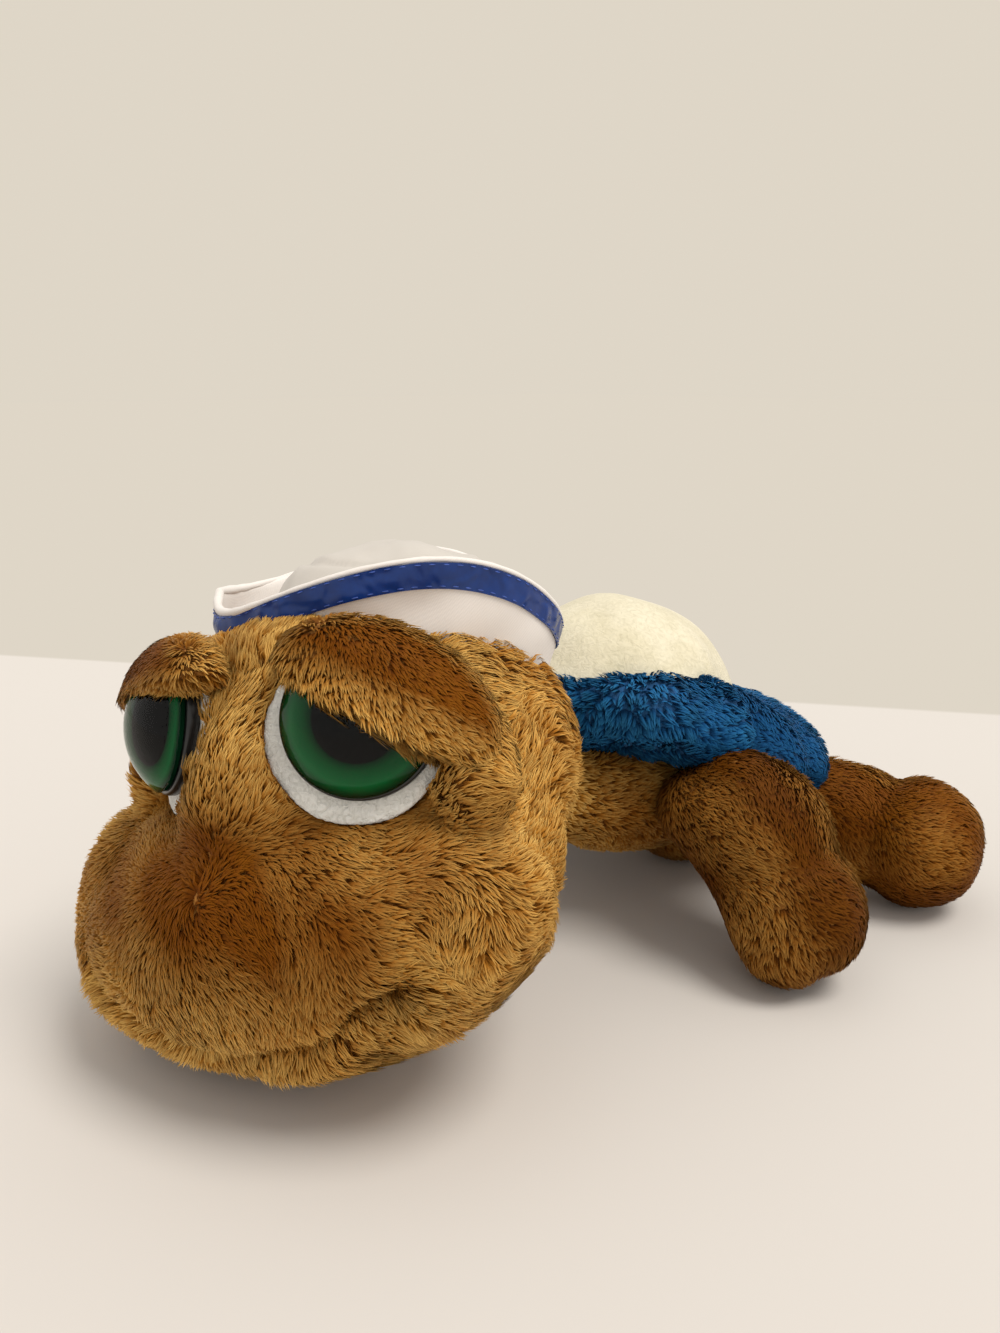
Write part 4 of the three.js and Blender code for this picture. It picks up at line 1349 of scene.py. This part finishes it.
cap = lump(body_frame, DOME_LUMP[0], inset(DOME_LUMP[1], DOME_INSET))
dome_skin = grown_together("shell_cover", [cap], voxel=2.2, rounds=8)
inflate(dome_skin, pressure=2.0, cap=1.2)
push_out(dome_skin, DENT_DEPTH * waves(points_of(dome_skin), 34 * MM, 81))
on_all_faces(dome_skin, bpy.ops.mesh.bisect, plane_co=DOME_CUT.to_translation(),
             plane_no=DOME_CUT.col[2].xyz, use_fill=True, clear_inner=True)
dome_skin.data.materials.append(cream)
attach(dome_skin, "torso")
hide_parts("shell_dome", "shell_stuffing")

# %% Rim
RIM_PATH = (80 / 2, 110 / 2)
RIM_SETBACK, RIM_HEIGHT = 6, 67.5
RIM_TILT, RIM_DROOP = math.radians(-16), math.radians(18)
RIM_THICK, RIM_INSET = 12.5, 2.4
RIM_REACH = (10, 39)
RIM_SIDE_RISE, RIM_SIDE_THICK = 5.5, 2.5
RIM_DIP, RIM_CREASE = 0.4, 9.5
RIM_PUCKER = 3.2
RIM_PUFFS = ((0.6, 11, 0.6), (0.5, 17, 2.0))
RIM_DENT = 1.5 * MM


def rim_puffs(angle):
    """The bulges between the puckers, in millimetres. Each row is a share, a count and a start."""
    calm = 0.65 + 0.35 * np.sin(angle)
    puffs = sum(share * np.cos(count * angle + start) for share, count, start in RIM_PUFFS)
    return RIM_PUCKER * calm * puffs


def turned_pair(first, second, angle):
    cos, sin = math.cos(angle), math.sin(angle)
    return first * cos - second * sin, first * sin + second * cos


def rim_points(angle, turn):
    """Points of the roll, by the angle round the shell and the turn round the roll, in the body's frame."""
    rear = (1 + np.sin(angle)) / 2
    puffs = rim_puffs(angle)
    creased = RIM_CREASE * near(np.sin(angle) + 0.03, 0.08)
    reach = RIM_REACH[0] + (RIM_REACH[1] - RIM_REACH[0]) * rear - RIM_INSET + 0.6 * puffs - creased
    hanging = RIM_SIDE_THICK * np.cos(angle) ** 2
    upward = (RIM_THICK - RIM_INSET + hanging + 0.45 * puffs) * np.sin(turn)
    outward, rise = turned_pair(reach * np.cos(turn), upward, -RIM_DROOP)
    x = (RIM_PATH[0] + outward) * np.cos(angle)
    y, z = turned_pair((RIM_PATH[1] + outward) * np.sin(angle), rise, RIM_TILT)
    side_rise = RIM_SIDE_RISE * np.cos(angle) ** 2 * (1 - 0.9 * np.sin(angle))
    z = z + side_rise - hanging - RIM_DIP * near(np.sin(angle) + 0.85, 0.28)
    return np.column_stack([x, y + RIM_SETBACK, z + RIM_HEIGHT]) * MM


deselect()
bpy.ops.mesh.primitive_torus_add(major_segments=168, minor_segments=28, major_radius=2, minor_radius=1)
rim = bpy.context.object
rim.name = rim.data.name = "rim_cover"
points = points_of(rim)
angle = np.arctan2(points[:, 1], points[:, 0])
turn = np.arctan2(points[:, 2], np.hypot(points[:, 0], points[:, 1]) - 2)
move_points(rim, out_of(body_frame, rim_points(angle, turn)))
on_all_faces(rim, bpy.ops.mesh.normals_make_consistent, inside=False)
smooth(rim)
inflate(rim, pressure=2.0, cap=1.5)
push_out(rim, RIM_DENT * np.clip(waves(points_of(rim), 24 * MM, 84), -1, 0.6))
rim.data.materials.append(blue_cover)
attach(rim, "torso")
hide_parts("shell_rim")
outside_body = outside_lumps(body_frame, BODY_LUMPS, 2)


def rim_keep(points, outward):
    return off_dome(points, outward) & outside_body(points, outward)


def rim_lay(points):
    away = points - np.array([0, body_frame.translation.y + 6 * MM, 72 * MM])
    away[:, 2] = -30 * MM
    return away


# The rim's pile lies flatter and takes darker colours, painted shade, in the crease, in the puckers between
# the puffs and on the rear of the left side, where the roll turns away from the lamp.
def rim_deep(points):
    flat = points - np.array(body_frame.translation) - np.array([0, RIM_SETBACK, 0]) * MM
    angle = np.arctan2(flat[:, 1] / (RIM_PATH[1] + 20), flat[:, 0] / (RIM_PATH[0] + 20))
    crease = near(np.sin(angle) + 0.03, 0.09)
    return crease - 0.28 * rim_puffs(angle) + 0.2 + 0.5 * (np.sin(angle) > 0.03) * (points[:, 0] > 0)


wear(grow_pile("rim_pile", rim, rim_lay, blue_pile, length=4.6, width=1.15, per_mm2=1.0, keep=rim_keep,
               deep=rim_deep, lean=(35, 75), swirl=55, lock=0.5, seed=85),
     "torso")

# %% [markdown]
# The four flippers are one shape in two sizes: a ball root in the body, a slight waist and a round foot with
# a smooth sole. Each is a row of spheres grown together along the flipper's own axis. The sole is cut off
# along its seam as a piece of its own.

# %% Flippers
ROOT_RADIUS = 14.5
SOLE_FACING = (0.45, 0.62, -0.64)
SOLE_DEPTH = 0.40
STATIONS = 7
FOOT_SEAM_DEPTH, FOOT_LUMPS = 1.0 * MM, 0.7 * MM
FLIPPERS = {
    "front": {"reach": 49, "foot": 19.8, "waist": 12.5, "heading": math.radians(2),
              "droop": math.radians(37.31), "pressed_shade": 1.05, "pressed_shade_aside": 0,
              "bulges": [((17, 6, 9.5), (54, 42, 38)), ((43, 4, 2.5), (48, 41, 39))]},
    "rear": {"reach": 58, "foot": 22.5, "waist": 13.5, "heading": math.radians(33),
             "droop": math.radians(8.93), "pressed_shade": 1.3, "pressed_shade_aside": -13,
             "bulges": [((57, -5, 2), (42, 44, 44)), ((30, 2, 4), (60, 34, 34))]},
}


def flipper_lumps(kind, sign):
    shapes = [((x, sign * y, z), size) for (x, y, z), size in kind["bulges"]]
    for i in range(STATIONS + 1):
        share = i / STATIONS
        swell = share * share * (3 - 2 * share)
        radius = ROOT_RADIUS + (kind["foot"] - ROOT_RADIUS) * swell
        radius -= (ROOT_RADIUS - kind["waist"]) * math.sin(math.pi * share) ** 2
        shapes.append(((kind["reach"] * share, 0, 0), inset((2 * radius,) * 3)))
    return shapes


def sole_plane(kind, sign, matrix):
    """A point of the sole's seam and the direction away from the sole, in the toy's frame."""
    facing = Vector((SOLE_FACING[0], sign * SOLE_FACING[1], SOLE_FACING[2])).normalized()
    place = matrix @ (Vector((kind["reach"], 0, 0)) * MM + facing * kind["foot"] * SOLE_DEPTH * MM)
    return place, -(matrix.to_3x3() @ facing)


def split_off(piece, name, place, normal):
    """Cuts a piece by a plane. The part behind the plane becomes a piece of its own."""
    select_only(piece)
    bpy.ops.object.duplicate()
    other = bpy.context.object
    other.name = other.data.name = name
    for part, clear in ((other, "clear_outer"), (piece, "clear_inner")):
        on_all_faces(part, bpy.ops.mesh.bisect, plane_co=place, plane_no=normal, use_fill=True,
                     **{clear: True})
    return other


sole_cover = cover_finish("sole_backing", (0.26, 0.12, 0.05), (0.16, 0.07, 0.03))
outside_torso = outside_lumps(body_frame, BODY_LUMPS, 7)
for number, (kind_name, kind) in enumerate(FLIPPERS.items()):
    for side, sign in SIDES.items():
        label = f"{kind_name}_{side}"
        pivot = Vector(joints[f"{label}_sweep"]["pos_m"])
        heading = kind["heading"] if sign > 0 else math.pi - kind["heading"]
        matrix = placed(pivot, heading, kind["droop"])
        row = [lump(matrix, *spec) for spec in flipper_lumps(kind, sign)]
        skin = grown_together(f"{label}_cover", row, voxel=2.2, rounds=8)
        inflate(skin, pressure=2.0, cap=1.2)
        press_on_table(skin)
        place, upward = sole_plane(kind, sign, matrix)

        def above(points):
            return (points - np.array(place)) @ np.array(upward)

        # The middle of each flipper's pile lies flat and takes darker colours, painted shade; the margins
        # keep the golden colours.
        def flipper_deep(points):
            seen = into(matrix, points)
            margin = ((seen[:, 1] - sign * kind["pressed_shade_aside"] * MM) / (18 * MM)) ** 2
            return 0.92 * (kind["pressed_shade"] - margin + 0.35 * waves(points, 38 * MM, 97))

        points = points_of(skin)
        seam = near(above(points), 1.3 * MM)
        push_out(skin, FOOT_LUMPS * waves(points, 30 * MM, 91 + number) - FOOT_SEAM_DEPTH * seam)
        press_on_table(skin)
        lay = lay_to(np.array(matrix)[:3, 0] + np.array([0, 0, -0.25]))
        pile = grow_pile(f"{label}_pile", skin, lay, limb_piles[kind_name], length=6.0, width=0.9,
                         per_mm2=1.35, deep=flipper_deep, lock=0.22, swirl=45, lean=(54, 84),
                         keep=lambda p, n: (above(p) > 0) & outside_torso(p, n),
                         seed=92 + 2 * number + (sign > 0))
        wear(pile, f"{label}_flipper")
        pile = grow_pile(f"{label}_sole_pile", skin, lay, sole_pile, length=2.4, width=0.9, per_mm2=1.5,
                         tuft=short_tuft, keep=lambda p, n: above(p) <= 0, lean=(40, 70), swirl=25,
                         seed=96 + 2 * number + (sign > 0))
        wear(pile, f"{label}_flipper")
        sole = split_off(skin, f"{label}_sole_cover", place, upward)
        skin.data.materials.append(brown_cover)
        sole.data.materials.clear()
        sole.data.materials.append(sole_cover)
        for piece, slot in ((skin, "plush"), (sole, "sole")):
            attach(piece, f"{label}_flipper")
        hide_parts(f"{label}_flipper", f"{label}_stuffing")
        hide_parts(f"{label}_sole")

# %% [markdown]
# Where a limb joins the body, a loose wad of fibre fills the root. It doesn't show, but it stays a piece of
# its own, because it turns with the joint.

# %% Wads of fibre
NECK_WAD, ROOT_WAD = 16.5, 9.8
fibre = mottled("white_fibre", (0.3, (0.72, 0.72, 0.71)), (0.7, (0.90, 0.90, 0.89)), 300, 5, 2.0,
                bumps=(1.0, 0.001), Roughness=1.0)
wads = {"neck": ("neck_wad", neck_pivot, NECK_WAD)}
for kind_name in FLIPPERS:
    for side in SIDES:
        label = f"{kind_name}_{side}"
        wads[f"{label}_root"] = (f"{label}_root_wad", Vector(joints[f"{label}_sweep"]["pos_m"]), ROOT_WAD)
for body_name, (replaced, place, radius) in wads.items():
    ball = lump(Matrix.Translation(place), (0, 0, 0), (2 * radius,) * 3)
    wad = grown_together(f"{body_name}_fibre", [ball], voxel=1.4, rounds=3)
    push_out(wad, 0.5 * MM * waves(points_of(wad), 6 * MM, 110))
    wad.data.materials.append(fibre)
    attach(wad, body_name)
    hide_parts(replaced)

# %% [markdown]
# The washers behind the eyes can't be seen. They keep their solids from the construction model and only get
# a finish.

# %% Washers
nylon = mottled("pale_nylon", (0.3, (0.66, 0.66, 0.63)), (0.7, (0.72, 0.72, 0.69)), 120, 2, Roughness=0.45)
for side in SIDES:
    washer = bpy.data.objects[f"{side}_eye_washer"]
    washer.data.materials.clear()
    washer.data.materials.append(nylon)

# %% [markdown]
# The toy stands on a pale table. Beyond a line the floor takes the colour of the wall, and so does the world
# where the camera sees it. One large soft lamp stands high to the right, as in the photograph, and the world
# fills the shadows.

# %% Stage
FLOOR_SIZE = 14
WALL_POINT = Vector((-522, -5, 0)) * MM
WALL_LINE, WALL_SHARPNESS = math.radians(35.7), 40.0
TABLE_COLOUR = (0.66, 0.628, 0.592)
WALL_COLOUR = (0.735, 0.672, 0.572)
WALL_LIGHT = (1.33, 1.28, 1.21)
FILL_COLOUR, FILL_STRENGTH = (1.0, 0.96, 0.91, 1), 0.8

deselect()
bpy.ops.mesh.primitive_plane_add(size=FLOOR_SIZE)
floor = bpy.context.object
floor.name = "floor"
material, tree, shader = new_material("pale_table")
apart = tree.nodes.new("ShaderNodeSeparateXYZ")
tree.links.new(mapped(tree, "TEXTURE", WALL_POINT, (0, 0, WALL_LINE)), apart.inputs["Vector"])
past = math_node(tree, "ADD", math_node(tree, "MULTIPLY", apart.outputs["Y"], WALL_SHARPNESS), 0.5)
lit_wall = tuple(colour / light for colour, light in zip(WALL_COLOUR, WALL_LIGHT))
surface(tree, shader, ramp(tree, past, [(0.4, TABLE_COLOUR), (0.6, lit_wall)]), Roughness=0.9,
        Specular_IOR_Level=0.0)
floor.data.materials.append(material)

world = bpy.data.worlds.new("world")
bpy.context.scene.world = world
world.use_nodes = True
tree = world.node_tree
fill = tree.nodes["Background"]
set_inputs(fill, Color=FILL_COLOUR, Strength=FILL_STRENGTH)
seen_light = node(tree, "ShaderNodeBackground", Color=(*WALL_COLOUR, 1), Strength=1.0)
path = tree.nodes.new("ShaderNodeLightPath")
blend = tree.nodes.new("ShaderNodeMixShader")
for number, socket in enumerate((path.outputs["Is Camera Ray"], fill.outputs["Background"],
                                 seen_light.outputs["Background"])):
    tree.links.new(socket, blend.inputs[number])
tree.links.new(blend.outputs["Shader"], tree.nodes["World Output"].inputs["Surface"])


def soft_lamp(name, direction, spread, strength, colour):
    """A distant lamp as wide as an angle in degrees, so that its light is even and its shadows are soft."""
    lamp = add_object(name, bpy.data.lights.new(name, "SUN"))
    lamp.rotation_euler = Vector(direction).to_track_quat("Z", "Y").to_euler()
    lamp.data.angle = math.radians(spread)
    lamp.data.energy = strength
    lamp.data.color = colour


soft_lamp("key", direction=(0.50, 0.15, 1.0), spread=28, strength=1.9, colour=(1.0, 0.96, 0.90))

# %% Finish
bpy.context.scene.view_settings.view_transform = "Standard"
